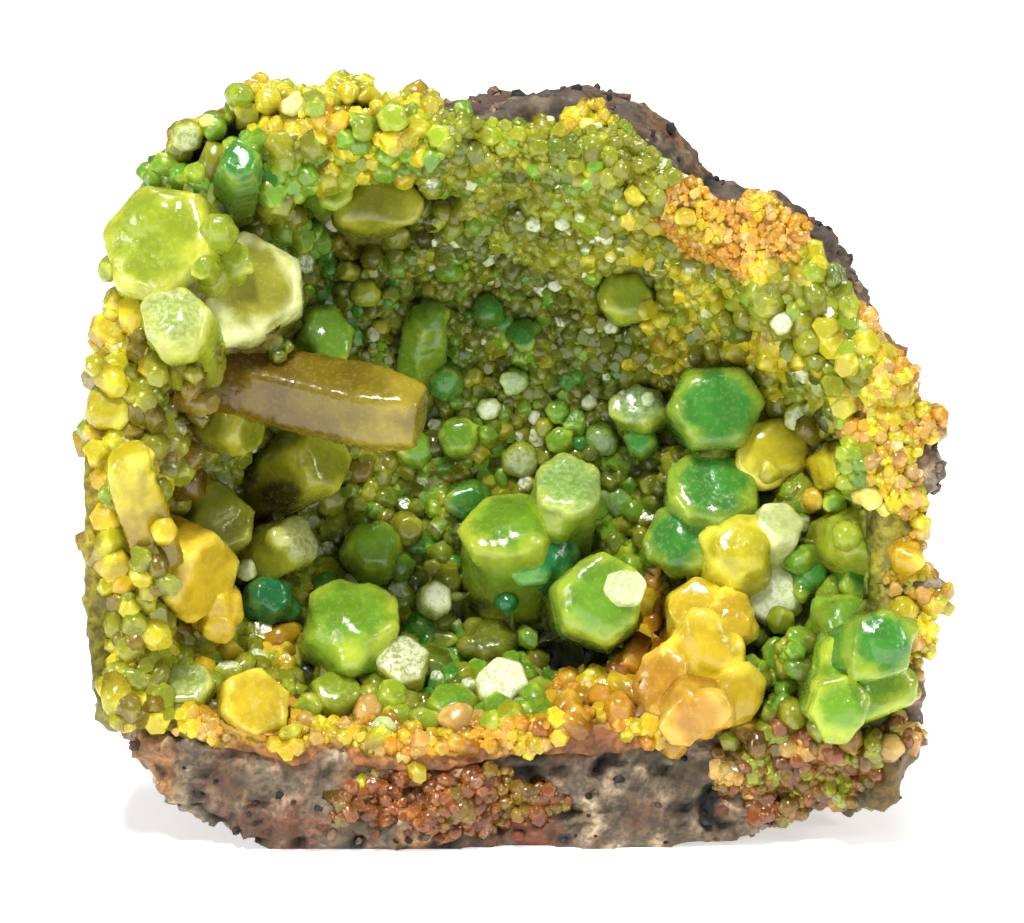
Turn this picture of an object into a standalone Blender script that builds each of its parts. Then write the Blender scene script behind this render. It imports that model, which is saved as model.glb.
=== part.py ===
# Mimetite on gossan: a broken pocket of iron-stained rock lined with hexagonal crystals.
# Metres, +Z up, the pocket opens towards -Y, and the rock stands on its flat foot at z = 0.
import math
import random

import bmesh
import bpy
import numpy as np
from mathutils import Matrix, Vector, noise
from mathutils.bvhtree import BVHTree

MM = 0.001

# The rock, in millimetres. An outline is (x, z) seen from the front, anticlockwise.
ROCK_OUTLINE = (
    (32.0, 28.8), (31.0, 35.8), (28.5, 39.6), (25.3, 43.4), (22.5, 47.6), (18.5, 50.8),
    (13.5, 53.0), (8.5, 57.2), (2.0, 58.4), (-5.0, 57.4), (-12.0, 57.2), (-19.5, 56.2),
    (-25.5, 52.4), (-29.5, 47.3), (-31.0, 39.8), (-31.8, 30.8), (-31.6, 20.8), (-31.5, 12.2),
    (-30.2, 7.4), (-27.6, 4.2), (-24.0, 1.4), (-20.0, -1.0), (-10.0, -2.0), (5.0, -2.0),
    (19.0, -1.0), (24.5, 1.6), (28.8, 4.8), (31.3, 9.6), (32.0, 17.0),
)
ROCK_CENTRE = (0.0, -4.0, 28.8)
ROCK_FRONT = 24.0
ROCK_BACK = 21.5
ROCK_SQUARENESS = 0.66
BACK_FALL = 0.25
BACK_FALL_FROM = -5.0
BACK_FALL_HEIGHTS = (30.0, 54.0)
ROCK_CUTS = 13
ROCK_LUMPS = ((17.0, 2.4), (7.5, 1.3), (3.6, 0.6))
ROCK_SEED = 3.1
BLOCK_SIZE = 7.5
BLOCK_HEIGHT = 2.4
BLOCK_SPREAD = 3.7
BLOCK_SEED = 2.3

# The pocket in the rock: its opening, and how far it goes back from the opening.
POCKET_OUTLINE = (
    (28.5, 28.8), (27.8, 34.8), (25.5, 38.8), (22.5, 42.6), (19.0, 46.8), (14.5, 49.8),
    (8.5, 53.2), (2.0, 55.0), (-5.0, 55.0), (-12.0, 54.8), (-19.0, 53.2), (-24.5, 48.8),
    (-27.8, 42.8), (-29.0, 34.8), (-29.4, 26.8), (-29.2, 17.4), (-28.0, 11.4), (-23.0, 8.8),
    (-12.0, 8.0), (0.0, 8.0), (10.0, 8.6), (18.0, 8.2), (24.0, 9.2), (27.6, 13.4), (28.6, 21.0),
)
POCKET_CENTRE = (0.0, -13.0, 29.8)
POCKET_FRONT = 22.0
POCKET_BACK = 18.5
POCKET_SQUARENESS = 0.90
POCKET_CUTS = 8
POCKET_LUMPS = ((15.0, 2.2), (7.0, 1.5))
POCKET_SEED = 8.4

# The broken front of the rock: how far forward it stands at the bottom and at the top.
RIM_BOTTOM_Y = -15.0
RIM_TOP_Y = -8.5
RIM_HEIGHT = 58.8
RIM_LUMPS = ((13.0, 1.7), (6.0, 1.0))
RIM_SEED = 5.7
RIM_CUTS = 15
FRONT_BLOCK = (90.0, 40.0, 84.0)
FLOOR_BLOCK = 120.0

# The crust of grown-together crystals that lines the pocket.
CRUST_THICKNESS = 2.4
CRUST_BACKING = 1.0
CRUST_LAP = 3.4
LAP_RUNS = ((92.0, 216.0), (-44.0, 48.0))
CRUST_LIP = 1.4
CRUST_CUTS = 7
GAP = 0.48
WELD = 0.1
LEVEL_ANGLE = math.radians(8.0)

# The places of the crystals are sighted from the front, a little from above.
SIGHT_TARGET = (0.0, 0.0, 27.8)
SIGHT_DISTANCE = 400.0
SIGHT_ELEVATION = math.radians(12.0)
EDGE_DEPTH = 11.0

# Crystal habits: rings of (height, radius) up the crystal, as shares of its length and radius.
HABITS = {
    "prism": ((0.0, 0.94), (0.92, 1.0), (1.0, 0.84)),
    "tablet": ((0.0, 0.94), (0.84, 1.0), (1.0, 0.92)),
    "barrel": ((0.0, 0.60), (0.45, 1.0), (0.80, 0.90), (1.0, 0.58)),
    "stub": ((0.0, 0.90), (0.72, 1.0), (1.0, 0.62)),
    "point": ((0.0, 1.0), (1.0, 0.74)),
    "stepped": ((0.0, 0.94), (0.72, 1.0), (0.74, 0.72), (1.0, 0.66)),
}

# Large crystals: habit, across and up on the sighting plane, radius, length, lift off the wall,
# the way the crystal points as (right, up, towards the eye), and its turn about its own axis.
LARGE_CRYSTALS = (
    ("tablet", -28.4, 17.9, 5.4, 5.0, 4.5, (-0.38, 0.28, 0.88), 54),
    ("tablet", -21.0, 14.0, 5.4, 8.5, 11.5, (0.12, 0.30, 0.95), 30),
    ("stepped", -26.8, 11.4, 3.5, 5.5, 10.8, (-0.10, 0.50, 0.86), 20),
    ("stub", -21.8, 24.3, 2.0, 6.0, 5.3, (0.10, 0.40, 0.90), 10),
    ("prism", -6.9, 3.5, 3.0, 20.0, 17.8, (0.95, -0.20, 0.24), 34),
    ("prism", -20.5, 2.7, 2.4, 10.0, 9.8, (0.86, -0.12, 0.50), 12),
    ("prism", -14.6, 0.6, 3.2, 11.0, 8.8, (0.66, 0.30, 0.70), 40),
    ("stub", -14.7, 10.3, 2.9, 8.0, 7.8, (0.25, 0.15, 0.95), 8),
    ("barrel", -6.9, 12.1, 2.1, 7.5, 4.8, (0.10, 0.75, 0.62), 15),
    ("stub", -10.9, 21.4, 3.3, 7.0, 5.3, (0.10, 0.05, 0.98), 0),
    ("stub", -15.2, 23.0, 2.5, 6.0, 4.8, (0.00, 0.20, 0.98), 22),
    ("tablet", -23.1, -4.3, 2.9, 6.0, 5.5, (0.30, 0.35, 0.88), 14),
    ("barrel", -16.4, -6.2, 2.6, 8.5, 8.3, (0.72, 0.28, 0.62), 0),
    ("prism", -24.2, -9.6, 4.0, 12.0, 9.8, (0.74, -0.32, 0.58), 18),
    ("stub", -23.0, -12.2, 2.3, 6.0, 8.3, (0.45, -0.25, 0.85), 40),
    ("prism", -31.2, 1.0, 2.3, 8.5, 4.0, (-0.26, 0.92, 0.30), 30),
    ("barrel", -19.2, -10.5, 2.1, 6.0, 5.8, (0.20, 0.30, 0.92), 30),
    ("barrel", -10.9, -6.4, 2.6, 7.0, 6.8, (0.10, 0.35, 0.92), 5),
    ("barrel", -13.0, -12.2, 4.7, 10.0, 8.8, (0.10, 0.62, 0.76), 12),
    ("prism", -8.9, -15.4, 2.3, 8.5, 7.8, (0.02, 0.62, 0.78), 16),
    ("prism", -0.9, -17.2, 2.1, 7.5, 7.3, (0.05, 0.55, 0.83), 45),
    ("barrel", -0.8, -13.4, 2.9, 7.0, 5.3, (0.00, 0.60, 0.80), 10),
    ("stub", -5.9, -10.6, 1.5, 7.5, 6.8, (0.15, 0.20, 0.96), 26),
    ("stepped", -0.2, -4.4, 4.3, 10.0, 9.8, (0.05, 0.68, 0.72), 6),
    ("stepped", 4.6, -1.4, 3.9, 10.0, 9.8, (0.12, 0.55, 0.82), 24),
    ("barrel", 2.9, -7.0, 2.9, 8.0, 9.3, (0.00, 0.30, 0.95), 12),
    ("stepped", 7.0, -11.0, 4.5, 9.0, 12.8, (0.10, 0.34, 0.93), 38),
    ("stub", 9.0, -9.7, 2.0, 5.5, 13.4, (0.20, 0.45, 0.86), 12),
    ("stub", 16.5, 4.4, 4.4, 9.0, 8.3, (0.02, -0.10, 0.99), 2),
    ("stub", 16.0, -1.4, 4.2, 9.0, 8.6, (0.02, 0.10, 0.98), 30),
    ("prism", 13.2, -6.1, 3.2, 10.0, 9.8, (-0.26, 0.22, 0.94), 8),
    ("stub", 18.6, -7.0, 3.3, 9.0, 10.8, (0.10, 0.40, 0.90), 20),
    ("prism", 21.6, -4.6, 2.2, 7.5, 8.3, (0.20, 0.55, 0.80), 0),
    ("prism", 21.0, -10.6, 2.5, 8.0, 8.3, (0.08, 0.15, 0.98), 30),
    ("stub", 21.1, 1.2, 3.0, 6.0, 5.8, (0.10, 0.10, 0.98), 14),
    ("stub", 10.3, 4.8, 2.2, 6.0, 4.8, (0.00, 0.35, 0.92), 40),
    ("stub", 9.4, 13.4, 2.3, 6.0, 4.3, (0.10, 0.10, 0.98), 0),
    ("stub", 14.6, -11.4, 3.2, 8.0, 12.3, (-0.10, 0.30, 0.94), 36),
    ("stub", 18.0, -12.2, 3.1, 8.0, 11.8, (0.30, 0.20, 0.92), 10),
    ("stub", 15.4, -15.2, 3.6, 8.0, 12.3, (0.00, 0.05, 1.00), 22),
    ("stub", 18.6, -18.4, 3.2, 7.0, 8.8, (0.35, -0.10, 0.92), 40),
    ("stub", 11.0, -18.0, 3.4, 7.0, 9.3, (-0.30, 0.10, 0.94), 12),
    ("stub", 15.0, -20.6, 3.1, 6.0, 6.8, (0.05, -0.20, 0.97), 50),
    ("stub", 21.8, -15.5, 2.1, 6.0, 6.8, (0.10, 0.10, 0.99), 0),
    ("stub", 24.3, -8.8, 2.1, 6.0, 5.8, (0.20, 0.10, 0.97), 30),
    ("stub", 28.4, -9.2, 2.1, 5.5, 4.4, (0.30, 0.10, 0.94), 12),
    ("stub", 27.0, 0.2, 2.0, 5.5, 4.8, (0.25, 0.10, 0.96), 44),
    ("stub", 28.9, -6.0, 2.9, 6.0, 4.4, (0.35, 0.10, 0.93), 22),
    ("stepped", 28.3, -16.4, 5.5, 10.0, 7.8, (0.22, 0.12, 0.97), 12),
    ("stub", 27.6, -12.6, 3.3, 8.0, 7.4, (0.20, 0.35, 0.91), 38),
    ("prism", -20.3, -19.3, 3.0, 6.0, 6.3, (0.30, 0.30, 0.90), 15),
    ("prism", -26.0, -17.7, 2.1, 5.5, 5.8, (0.00, 0.55, 0.83), 0),
    ("stub", -14.1, -18.0, 2.1, 6.0, 5.3, (0.10, 0.60, 0.80), 34),
    ("stub", -4.8, -18.8, 2.0, 6.0, 5.4, (0.00, 0.60, 0.80), 10),
)
LARGE_BACKING = 3.0
LARGE_SHORTEST = 0.6

# Middling crystals, mostly by rows along the walls: across, up and radius.
MIDDLING_CRYSTALS = (
    (-23.4, 18.9, 2.1), (-22.3, 16.2, 2.4), (-23.8, 26.6, 1.5), (-25.9, 25.9, 1.9),
    (-27.9, 23.6, 1.6), (-21.4, 28.8, 1.9), (-18.6, 28.4, 2.1), (-15.6, 28.0, 1.8),
    (-12.6, 28.9, 2.0), (-12.0, 26.0, 1.8), (-9.4, 27.0, 2.0), (-18.4, 25.2, 2.0),
    (-19.0, 21.6, 2.1), (-17.8, 18.4, 1.9), (-13.2, 15.4, 1.8), (-9.2, 17.6, 2.1),
    (-4.6, 18.8, 1.8), (-5.0, 15.2, 2.0), (-11.4, 13.2, 2.0), (-10.5, 9.8, 1.8),
    (-5.2, 6.4, 2.2), (-1.8, 12.2, 2.1), (1.0, 9.8, 2.1), (0.4, 6.2, 2.0),
    (-1.8, 3.8, 1.6), (3.2, 3.8, 1.9), (-4.4, 1.8, 2.5), (-7.6, 0.6, 2.1),
    (-3.6, -3.4, 2.8), (-8.6, -5.2, 2.1), (-8.4, -8.8, 2.0),
    (-12.6, -2.6, 2.1), (-14.0, 5.6, 1.9), (5.4, 1.4, 2.2), (11.0, 2.2, 2.1),
    (10.7, 12.0, 2.0), (9.8, 21.0, 1.8), (18.8, 11.4, 2.0),
    (22.4, 10.8, 1.9), (23.0, 3.6, 2.0), (24.0, -3.0, 2.0), (27.6, -2.8, 1.8),
    (22.2, -19.0, 2.0), (25.6, -21.8, 2.0), (28.8, -22.4, 1.9), (-0.6, -19.8, 2.2),
    (-1.0, -10.4, 2.1), (-23.4, -18.0, 1.9), (-16.2, -19.9, 1.9), (-10.9, -20.4, 2.0),
    (-7.2, -20.7, 1.9), (2.6, -19.8, 2.2), (6.2, -20.0, 2.1), (-28.4, 1.2, 1.9),
    (-27.2, -13.8, 2.2), (-30.4, -15.4, 2.4), (-28.2, 7.0, 2.4),
    (4.8, 11.8, 1.9), (1.6, 20.6, 1.9),
)
MIDDLING_LIFT = 2.6
MIDDLING_LENGTH = 3.8
MIDDLING_LEAN = 0.35
MIDDLING_FACING = 0.7

# Crystals that lap over the edge of the rock: where along the outline, in degrees, and how many.
EDGE_RUNS = ((96.0, 214.0, 22), (-42.0, 52.0, 16))
EDGE_SIZES = (1.6, 2.7)
EDGE_INSETS = (-1.0, 1.8)
EDGE_LIFTS = (1.1, 2.3)
EDGE_LENGTH = 3.2
EDGE_LEAN = 0.5
EDGE_FACING = 1.1

RANDOM_SEED = 41


def clear_scene():
    for item in list(bpy.data.objects):
        bpy.data.objects.remove(item, do_unlink=True)


def new_collection(name):
    collection = bpy.data.collections.new(name)
    bpy.context.scene.collection.children.link(collection)
    return collection


def new_material(name, color, roughness, metallic=0.0):
    material = bpy.data.materials.new(name)
    material.use_nodes = True
    shader = material.node_tree.nodes["Principled BSDF"]
    shader.inputs["Base Color"].default_value = (*color, 1.0)
    shader.inputs["Roughness"].default_value = roughness
    shader.inputs["Metallic"].default_value = metallic
    material.diffuse_color = (*color, 1.0)
    return material


def object_from(bm, name, collection):
    mesh = bpy.data.meshes.new(name)
    bm.to_mesh(mesh)
    bm.free()
    item = bpy.data.objects.new(name, mesh)
    collection.objects.link(item)
    return item


def as_guide(item):
    item.hide_render = True
    item.display_type = "WIRE"
    return item


def add_boolean(item, operation, other, solver="EXACT"):
    modifier = item.modifiers.new(f"{operation.lower()} {other.name}", "BOOLEAN")
    modifier.operation = operation
    modifier.solver = solver
    if isinstance(other, bpy.types.Collection):
        modifier.operand_type = "COLLECTION"
        modifier.collection = other
    else:
        modifier.object = other
    return modifier


def finished_mesh(item):
    graph = bpy.context.evaluated_depsgraph_get()
    return bpy.data.meshes.new_from_object(item.evaluated_get(graph))


def apply_modifiers(item):
    mesh = finished_mesh(item)
    item.modifiers.clear()
    item.data = mesh


# Rock forms

def radius_at(angle, outline, centre):
    # The outline's distance from the centre in the direction of the angle
    angles = []
    radii = []
    for x, z in outline:
        angles.append(math.atan2(z - centre[2], x - centre[0]))
        radii.append(math.hypot(z - centre[2], x - centre[0]))
    return float(np.interp(angle, angles, radii, period=math.tau))


def lumps_at(point, lumps, seed):
    # Each lump size adds its own share of smooth noise, in millimetres
    total = 0.0
    for size, height in lumps:
        total += height * noise.noise(Vector(point) / size + Vector((seed, seed * 0.7, -seed)))
    return total


def blocks_at(point, seed):
    # Broken blocks: every point nearest to the same seed of a cell pattern has one height
    place = Vector(point) / BLOCK_SIZE + Vector((seed, -seed, seed * 0.4))
    nearest = noise.voronoi(place)[1][0]
    return BLOCK_HEIGHT * noise.noise(nearest * BLOCK_SPREAD)


def form_point(direction, outline, centre, front, back, squareness, lumps, seed):
    # A rounded box seen from above and from the side, with the outline seen from the front
    angle = math.atan2(direction.z, direction.x)
    side = math.hypot(direction.x, direction.z)
    across = radius_at(angle, outline, centre) * side ** squareness
    depth = back if direction.y > 0.0 else front
    along = depth * math.copysign(abs(direction.y) ** squareness, direction.y)
    base = Vector((across * math.cos(angle), along, across * math.sin(angle)))
    grown = base + base.normalized() * lumps_at(base, lumps, seed)
    return grown + Vector(centre)


def rock_point(direction):
    place = form_point(
        direction, ROCK_OUTLINE, ROCK_CENTRE, ROCK_FRONT, ROCK_BACK,
        ROCK_SQUARENESS, ROCK_LUMPS, ROCK_SEED,
    )
    outward = (place - Vector(ROCK_CENTRE)).normalized()
    place += outward * blocks_at(place, BLOCK_SEED)
    # The top falls away towards the back
    low, high = BACK_FALL_HEIGHTS
    share = min(max((place.z - low) / (high - low), 0.0), 1.0)
    place.z -= BACK_FALL * share * max(place.y - BACK_FALL_FROM, 0.0)
    return place * MM


def pocket_point(direction, wall=0.0):
    # The pocket's own surface, or a surface that many millimetres inside it
    place = form_point(
        direction, POCKET_OUTLINE, POCKET_CENTRE, POCKET_FRONT, POCKET_BACK,
        POCKET_SQUARENESS, POCKET_LUMPS, POCKET_SEED,
    )
    inward = (Vector(POCKET_CENTRE) - place).normalized()
    return (place + inward * wall) * MM


def form(name, cuts, place, collection):
    # A cube cut into an even grid, blown up to a ball, each point moved to the form's surface
    bm = bmesh.new()
    bmesh.ops.create_cube(bm, size=2.0)
    bmesh.ops.subdivide_edges(bm, edges=bm.edges, cuts=cuts, use_grid_fill=True)
    for vertex in bm.verts:
        even = Vector(math.sin(math.pi / 4 * axis) for axis in vertex.co)
        vertex.co = place(even.normalized())
    bmesh.ops.recalc_face_normals(bm, faces=bm.faces)
    return object_from(bm, name, collection)


def rim_front(x, z):
    # How far forward the broken front stands at this place, in millimetres
    rise = min(max(z / RIM_HEIGHT, 0.0), 1.0)
    plain = RIM_BOTTOM_Y + (RIM_TOP_Y - RIM_BOTTOM_Y) * rise
    return plain + lumps_at((x, 0.0, z), RIM_LUMPS, RIM_SEED)


def front_block(name, forward, collection):
    # A block in front of the specimen, whose back is the shape of the broken front
    width, thickness, height = FRONT_BLOCK
    bm = bmesh.new()
    bmesh.ops.create_cube(bm, size=1.0)
    bmesh.ops.subdivide_edges(bm, edges=bm.edges, cuts=RIM_CUTS, use_grid_fill=True)
    for vertex in bm.verts:
        x = vertex.co.x * width
        z = vertex.co.z * height + RIM_HEIGHT / 2
        back = rim_front(x, z) - forward
        y = back - (0.5 - vertex.co.y) * thickness
        vertex.co = Vector((x, y, z)) * MM
    return as_guide(object_from(bm, name, collection))


def floor_block(name, top, collection):
    bm = bmesh.new()
    bmesh.ops.create_cube(bm, size=FLOOR_BLOCK * MM)
    drop = Vector((0.0, 0.0, top - FLOOR_BLOCK / 2)) * MM
    bmesh.ops.translate(bm, verts=bm.verts, vec=drop)
    return as_guide(object_from(bm, name, collection))


def make_matrix(parts, cutters, material):
    rock = form("gossan_matrix", ROCK_CUTS, rock_point, parts)
    pocket = as_guide(form("pocket", POCKET_CUTS, pocket_point, cutters))
    add_boolean(rock, "DIFFERENCE", floor_block("foot plane", 0.0, cutters))
    add_boolean(rock, "DIFFERENCE", front_block("broken front", 0.0, cutters))
    add_boolean(rock, "DIFFERENCE", pocket)
    apply_modifiers(rock)
    rock.data.materials.clear()
    rock.data.materials.append(material)
    return rock


# Crust of crystals

def sighting():
    # Right, up and towards the eye, as unit vectors
    right = Vector((1.0, 0.0, 0.0))
    back = Vector((0.0, -math.cos(SIGHT_ELEVATION), math.sin(SIGHT_ELEVATION)))
    return right, back.cross(right), back


def sighted(across, up, wall):
    # The place on the wall that shows at these millimetres across and up of the target;
    # past the edge of the rock it is a place level with the rock's front
    right, above, back = sighting()
    target = Vector(SIGHT_TARGET)
    eye = (target + back * SIGHT_DISTANCE) * MM
    seen = (target + right * across + above * up) * MM
    ray = (seen - eye).normalized()
    hit, normal = wall.ray_cast(eye, ray)[:2]
    if hit is None:
        return seen - ray * EDGE_DEPTH * MM, -ray, ray
    if normal.dot(ray) > 0.0:
        normal = -normal
    return hit, normal, ray


def crystal(name, habit, top, axis, radius, length, turn, collection):
    # A hexagon extruded up through its habit's rings, standing on its base behind the top
    bm = bmesh.new()
    rings = HABITS[habit]
    bmesh.ops.create_circle(bm, cap_ends=True, segments=6, radius=radius * rings[0][1] * MM)
    foot = bm.faces[:]
    cap = foot
    for (low, inner), (high, outer) in zip(rings, rings[1:]):
        grown = bmesh.ops.extrude_face_region(bm, geom=cap)["geom"]
        if cap is not foot:
            bmesh.ops.delete(bm, geom=cap, context="FACES_ONLY")
        ring = [item for item in grown if isinstance(item, bmesh.types.BMVert)]
        cap = [item for item in grown if isinstance(item, bmesh.types.BMFace)]
        rise = Vector((0.0, 0.0, (high - low) * length * MM))
        bmesh.ops.translate(bm, verts=ring, vec=rise)
        bmesh.ops.scale(bm, verts=ring, vec=Vector((outer / inner, outer / inner, 1.0)))
    bmesh.ops.recalc_face_normals(bm, faces=bm.faces)
    aim = axis.normalized()
    stand = aim.to_track_quat("Z", "Y").to_matrix().to_4x4()
    base = Matrix.Translation(top - aim * length * MM)
    spin = Matrix.Rotation(math.radians(turn), 4, "Z")
    bmesh.ops.transform(bm, matrix=base @ stand @ spin, verts=bm.verts)
    return as_guide(object_from(bm, name, collection))


def in_view(axis):
    right, above, back = sighting()
    return (right * axis[0] + above * axis[1] + back * axis[2]).normalized()


def reach_back(top, axis, length, wall):
    # Long enough to reach the wall behind it, as far as its backing allows
    hit = wall.ray_cast(top, -axis)[0]
    if hit is None:
        return length
    deep = (hit - top).length / MM + CRUST_BACKING
    return min(max(deep, length * LARGE_SHORTEST), length + LARGE_BACKING)


def large_crystals(wall, collection):
    for index, row in enumerate(LARGE_CRYSTALS):
        habit, across, up, radius, length, lift, pointing, turn = row
        hit, _, ray = sighted(across, up, wall)
        axis = in_view(pointing)
        top = hit - ray * lift * MM
        deep = reach_back(top, axis, length, wall)
        crystal(f"large crystal {index}", habit, top, axis, radius, deep, turn, collection)


def middling_crystals(wall, chance, collection):
    for index, (across, up, radius) in enumerate(MIDDLING_CRYSTALS):
        hit, normal, ray = sighted(across, up, wall)
        lean = Vector(chance.uniform(-MIDDLING_LEAN, MIDDLING_LEAN) for _ in range(3))
        axis = (normal - ray * MIDDLING_FACING + lean).normalized()
        top = hit + axis * (MIDDLING_LIFT + radius / 2) * MM
        habit = chance.choice(("stub", "point", "point"))
        turn = chance.uniform(0.0, 60.0)
        crystal(f"middling crystal {index}", habit, top, axis, radius,
                MIDDLING_LENGTH + radius / 2, turn, collection)


def edge_crystals(chance, collection):
    count = 0
    for start, end, number in EDGE_RUNS:
        for step in range(number):
            share = (step + chance.uniform(0.1, 0.9)) / number
            angle = math.radians(start + (end - start) * share)
            radius = chance.uniform(*EDGE_SIZES)
            reach = radius_at(angle, ROCK_OUTLINE, ROCK_CENTRE) - chance.uniform(*EDGE_INSETS)
            x = ROCK_CENTRE[0] + reach * math.cos(angle)
            z = ROCK_CENTRE[2] + reach * math.sin(angle)
            y = rim_front(x, z) - chance.uniform(*EDGE_LIFTS)
            outward = Vector((math.cos(angle), -EDGE_FACING, math.sin(angle)))
            lean = Vector(chance.uniform(-EDGE_LEAN, EDGE_LEAN) for _ in range(3))
            habit = chance.choice(("point", "point", "stub"))
            top = Vector((x, y, z)) * MM
            turn = chance.uniform(0.0, 60.0)
            crystal(f"edge crystal {count}", habit, top, outward + lean, radius,
                    EDGE_LENGTH + radius / 2, turn, collection)
            count += 1


def crust_back(direction):
    # The crust's back, which laps over the edge of the rock at the sides
    turn = math.degrees(math.atan2(direction.z, direction.x))
    lap = CRUST_BACKING
    for start, end in LAP_RUNS:
        if start <= turn <= end or start <= turn + 360.0 <= end:
            lap = CRUST_LAP
    return pocket_point(direction, -lap)


def crust_face(direction):
    return pocket_point(direction, CRUST_THICKNESS)


def make_crust(parts, cutters, crystals, rock, material):
    rock_bm = bmesh.new()
    rock_bm.from_mesh(rock.data)
    wall = BVHTree.FromBMesh(rock_bm)
    # The rock swollen by the gap, which clears the crust off it
    bmesh.ops.remove_doubles(rock_bm, verts=rock_bm.verts, dist=WELD * MM)
    bmesh.ops.dissolve_degenerate(rock_bm, edges=rock_bm.edges, dist=WELD * MM)
    bmesh.ops.recalc_face_normals(rock_bm, faces=rock_bm.faces)
    for vertex in rock_bm.verts:
        vertex.co += vertex.normal * GAP * MM
    swollen = as_guide(object_from(rock_bm, "swollen rock", cutters))
    chance = random.Random(RANDOM_SEED)
    crust = form("mimetite_crust", CRUST_CUTS, crust_back, parts)
    hollow = as_guide(form("crust hollow", CRUST_CUTS, crust_face, cutters))
    # Hundreds of crystals that cross at slivers need the solver that keeps the mesh closed
    add_boolean(crust, "DIFFERENCE", front_block("crust front", CRUST_LIP, cutters), "MANIFOLD")
    add_boolean(crust, "DIFFERENCE", hollow, "MANIFOLD")
    large_crystals(wall, crystals)
    middling_crystals(wall, chance, crystals)
    edge_crystals(chance, crystals)
    add_boolean(crust, "UNION", crystals, "MANIFOLD")
    apply_modifiers(crust)
    join_level_faces(crust)
    add_boolean(crust, "DIFFERENCE", swollen, "MANIFOLD")
    apply_modifiers(crust)
    keep_largest(crust)
    crust.data.materials.clear()
    crust.data.materials.append(material)
    return crust


def join_level_faces(item):
    # Faces that are all but level with each other become one
    bm = bmesh.new()
    bm.from_mesh(item.data)
    bmesh.ops.dissolve_limit(bm, angle_limit=LEVEL_ANGLE, verts=bm.verts, edges=bm.edges)
    bmesh.ops.triangulate(bm, faces=bm.faces)
    bm.to_mesh(item.data)
    bm.free()


def keep_largest(item):
    # Splinters that the rock cut off the crust, which share no edge with it, are dropped
    bm = bmesh.new()
    bm.from_mesh(item.data)
    islands = []
    unseen = set(bm.faces)
    while unseen:
        island = set()
        waiting = [unseen.pop()]
        while waiting:
            face = waiting.pop()
            island.add(face)
            for edge in face.edges:
                for other in edge.link_faces:
                    if other in unseen:
                        unseen.remove(other)
                        waiting.append(other)
        islands.append(island)
    islands.sort(key=len, reverse=True)
    for island in islands[1:]:
        bmesh.ops.delete(bm, geom=list(island), context="FACES")
    bm.to_mesh(item.data)
    bm.free()


def main():
    clear_scene()
    parts = new_collection("mimetite")
    cutters = new_collection("cutters")
    crystals = new_collection("crystals")
    stone = new_material("gossan", (0.24, 0.17, 0.11), 0.85)
    green = new_material("mimetite", (0.42, 0.50, 0.12), 0.28)
    rock = make_matrix(parts, cutters, stone)
    make_crust(parts, cutters, crystals, rock, green)


main()
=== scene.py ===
# Mimetite on gossan: a broken rock pocket lined with hexagonal crystals, dressed around its CAD part.
import math
import random

import bmesh
import bpy
import numpy as np
from mathutils import Matrix, Vector, noise
from mathutils.bvhtree import BVHTree


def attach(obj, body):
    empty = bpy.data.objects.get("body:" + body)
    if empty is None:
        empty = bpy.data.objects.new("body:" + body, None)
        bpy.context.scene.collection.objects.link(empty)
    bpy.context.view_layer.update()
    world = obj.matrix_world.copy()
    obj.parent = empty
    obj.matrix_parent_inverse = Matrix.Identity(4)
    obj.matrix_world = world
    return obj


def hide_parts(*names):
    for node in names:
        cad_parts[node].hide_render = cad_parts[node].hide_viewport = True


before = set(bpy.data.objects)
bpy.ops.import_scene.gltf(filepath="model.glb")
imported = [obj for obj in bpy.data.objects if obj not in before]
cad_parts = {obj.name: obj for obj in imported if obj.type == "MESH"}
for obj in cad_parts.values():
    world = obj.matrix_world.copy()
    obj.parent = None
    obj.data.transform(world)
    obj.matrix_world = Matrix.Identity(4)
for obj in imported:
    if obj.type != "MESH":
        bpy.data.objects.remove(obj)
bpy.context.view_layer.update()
mm = 0.001

# Places are read off the 1024 x 923 frame, in pixels from its left and top edges
view = {
    "target": (0.0, 0.0, 27.8),
    "distance": 400.0,
    "elevation": 12.0,
    "pixel": 0.08,
    "middle": (512.0, 461.0),
    "frameWidth": 81.92,
    "edgeDepth": 11.0,
}


def viewAxes():
    lift = math.radians(view["elevation"])
    toEye = Vector((0.0, -math.cos(lift), math.sin(lift)))
    right = Vector((1.0, 0.0, 0.0))
    return right, toEye.cross(right), toEye


rightWay, upWay, eyeWay = viewAxes()
eye = (Vector(view["target"]) + eyeWay * view["distance"]) * mm


def pixelPlace(px, py):
    across = (px - view["middle"][0]) * view["pixel"]
    up = (view["middle"][1] - py) * view["pixel"]
    return (Vector(view["target"]) + rightWay * across + upWay * up) * mm


def pixelOf(place):
    # Where a place shows in the frame
    arm = place - eye
    arm *= view["distance"] * mm / -arm.dot(eyeWay)
    seen = eye + arm - Vector(view["target"]) * mm
    across = seen.dot(rightWay) / mm / view["pixel"]
    up = seen.dot(upWay) / mm / view["pixel"]
    return view["middle"][0] + across, view["middle"][1] - up


def sighted(px, py, tree):
    # The carrying surface behind a pixel, and the way the sight line runs
    seen = pixelPlace(px, py)
    sight = (seen - eye).normalized()
    hit, normal = tree.ray_cast(eye, sight)[:2]
    if hit is None:
        return seen - sight * view["edgeDepth"] * mm, -sight, sight
    if normal.dot(sight) > 0.0:
        normal = -normal
    return hit, normal, sight


def pointing(turns):
    # A direction given as right, up and towards the eye
    return (rightWay * turns[0] + upWay * turns[1] + eyeWay * turns[2]).normalized()


def tone(red, green, blue):
    # Screen values, 0 to 255, as the linear colour that a shader takes
    linear = []
    for value in (red, green, blue):
        share = value / 255.0
        linear.append(share / 12.92 if share <= 0.04045 else ((share + 0.055) / 1.055) ** 2.4)
    return (*linear, 1.0)


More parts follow.
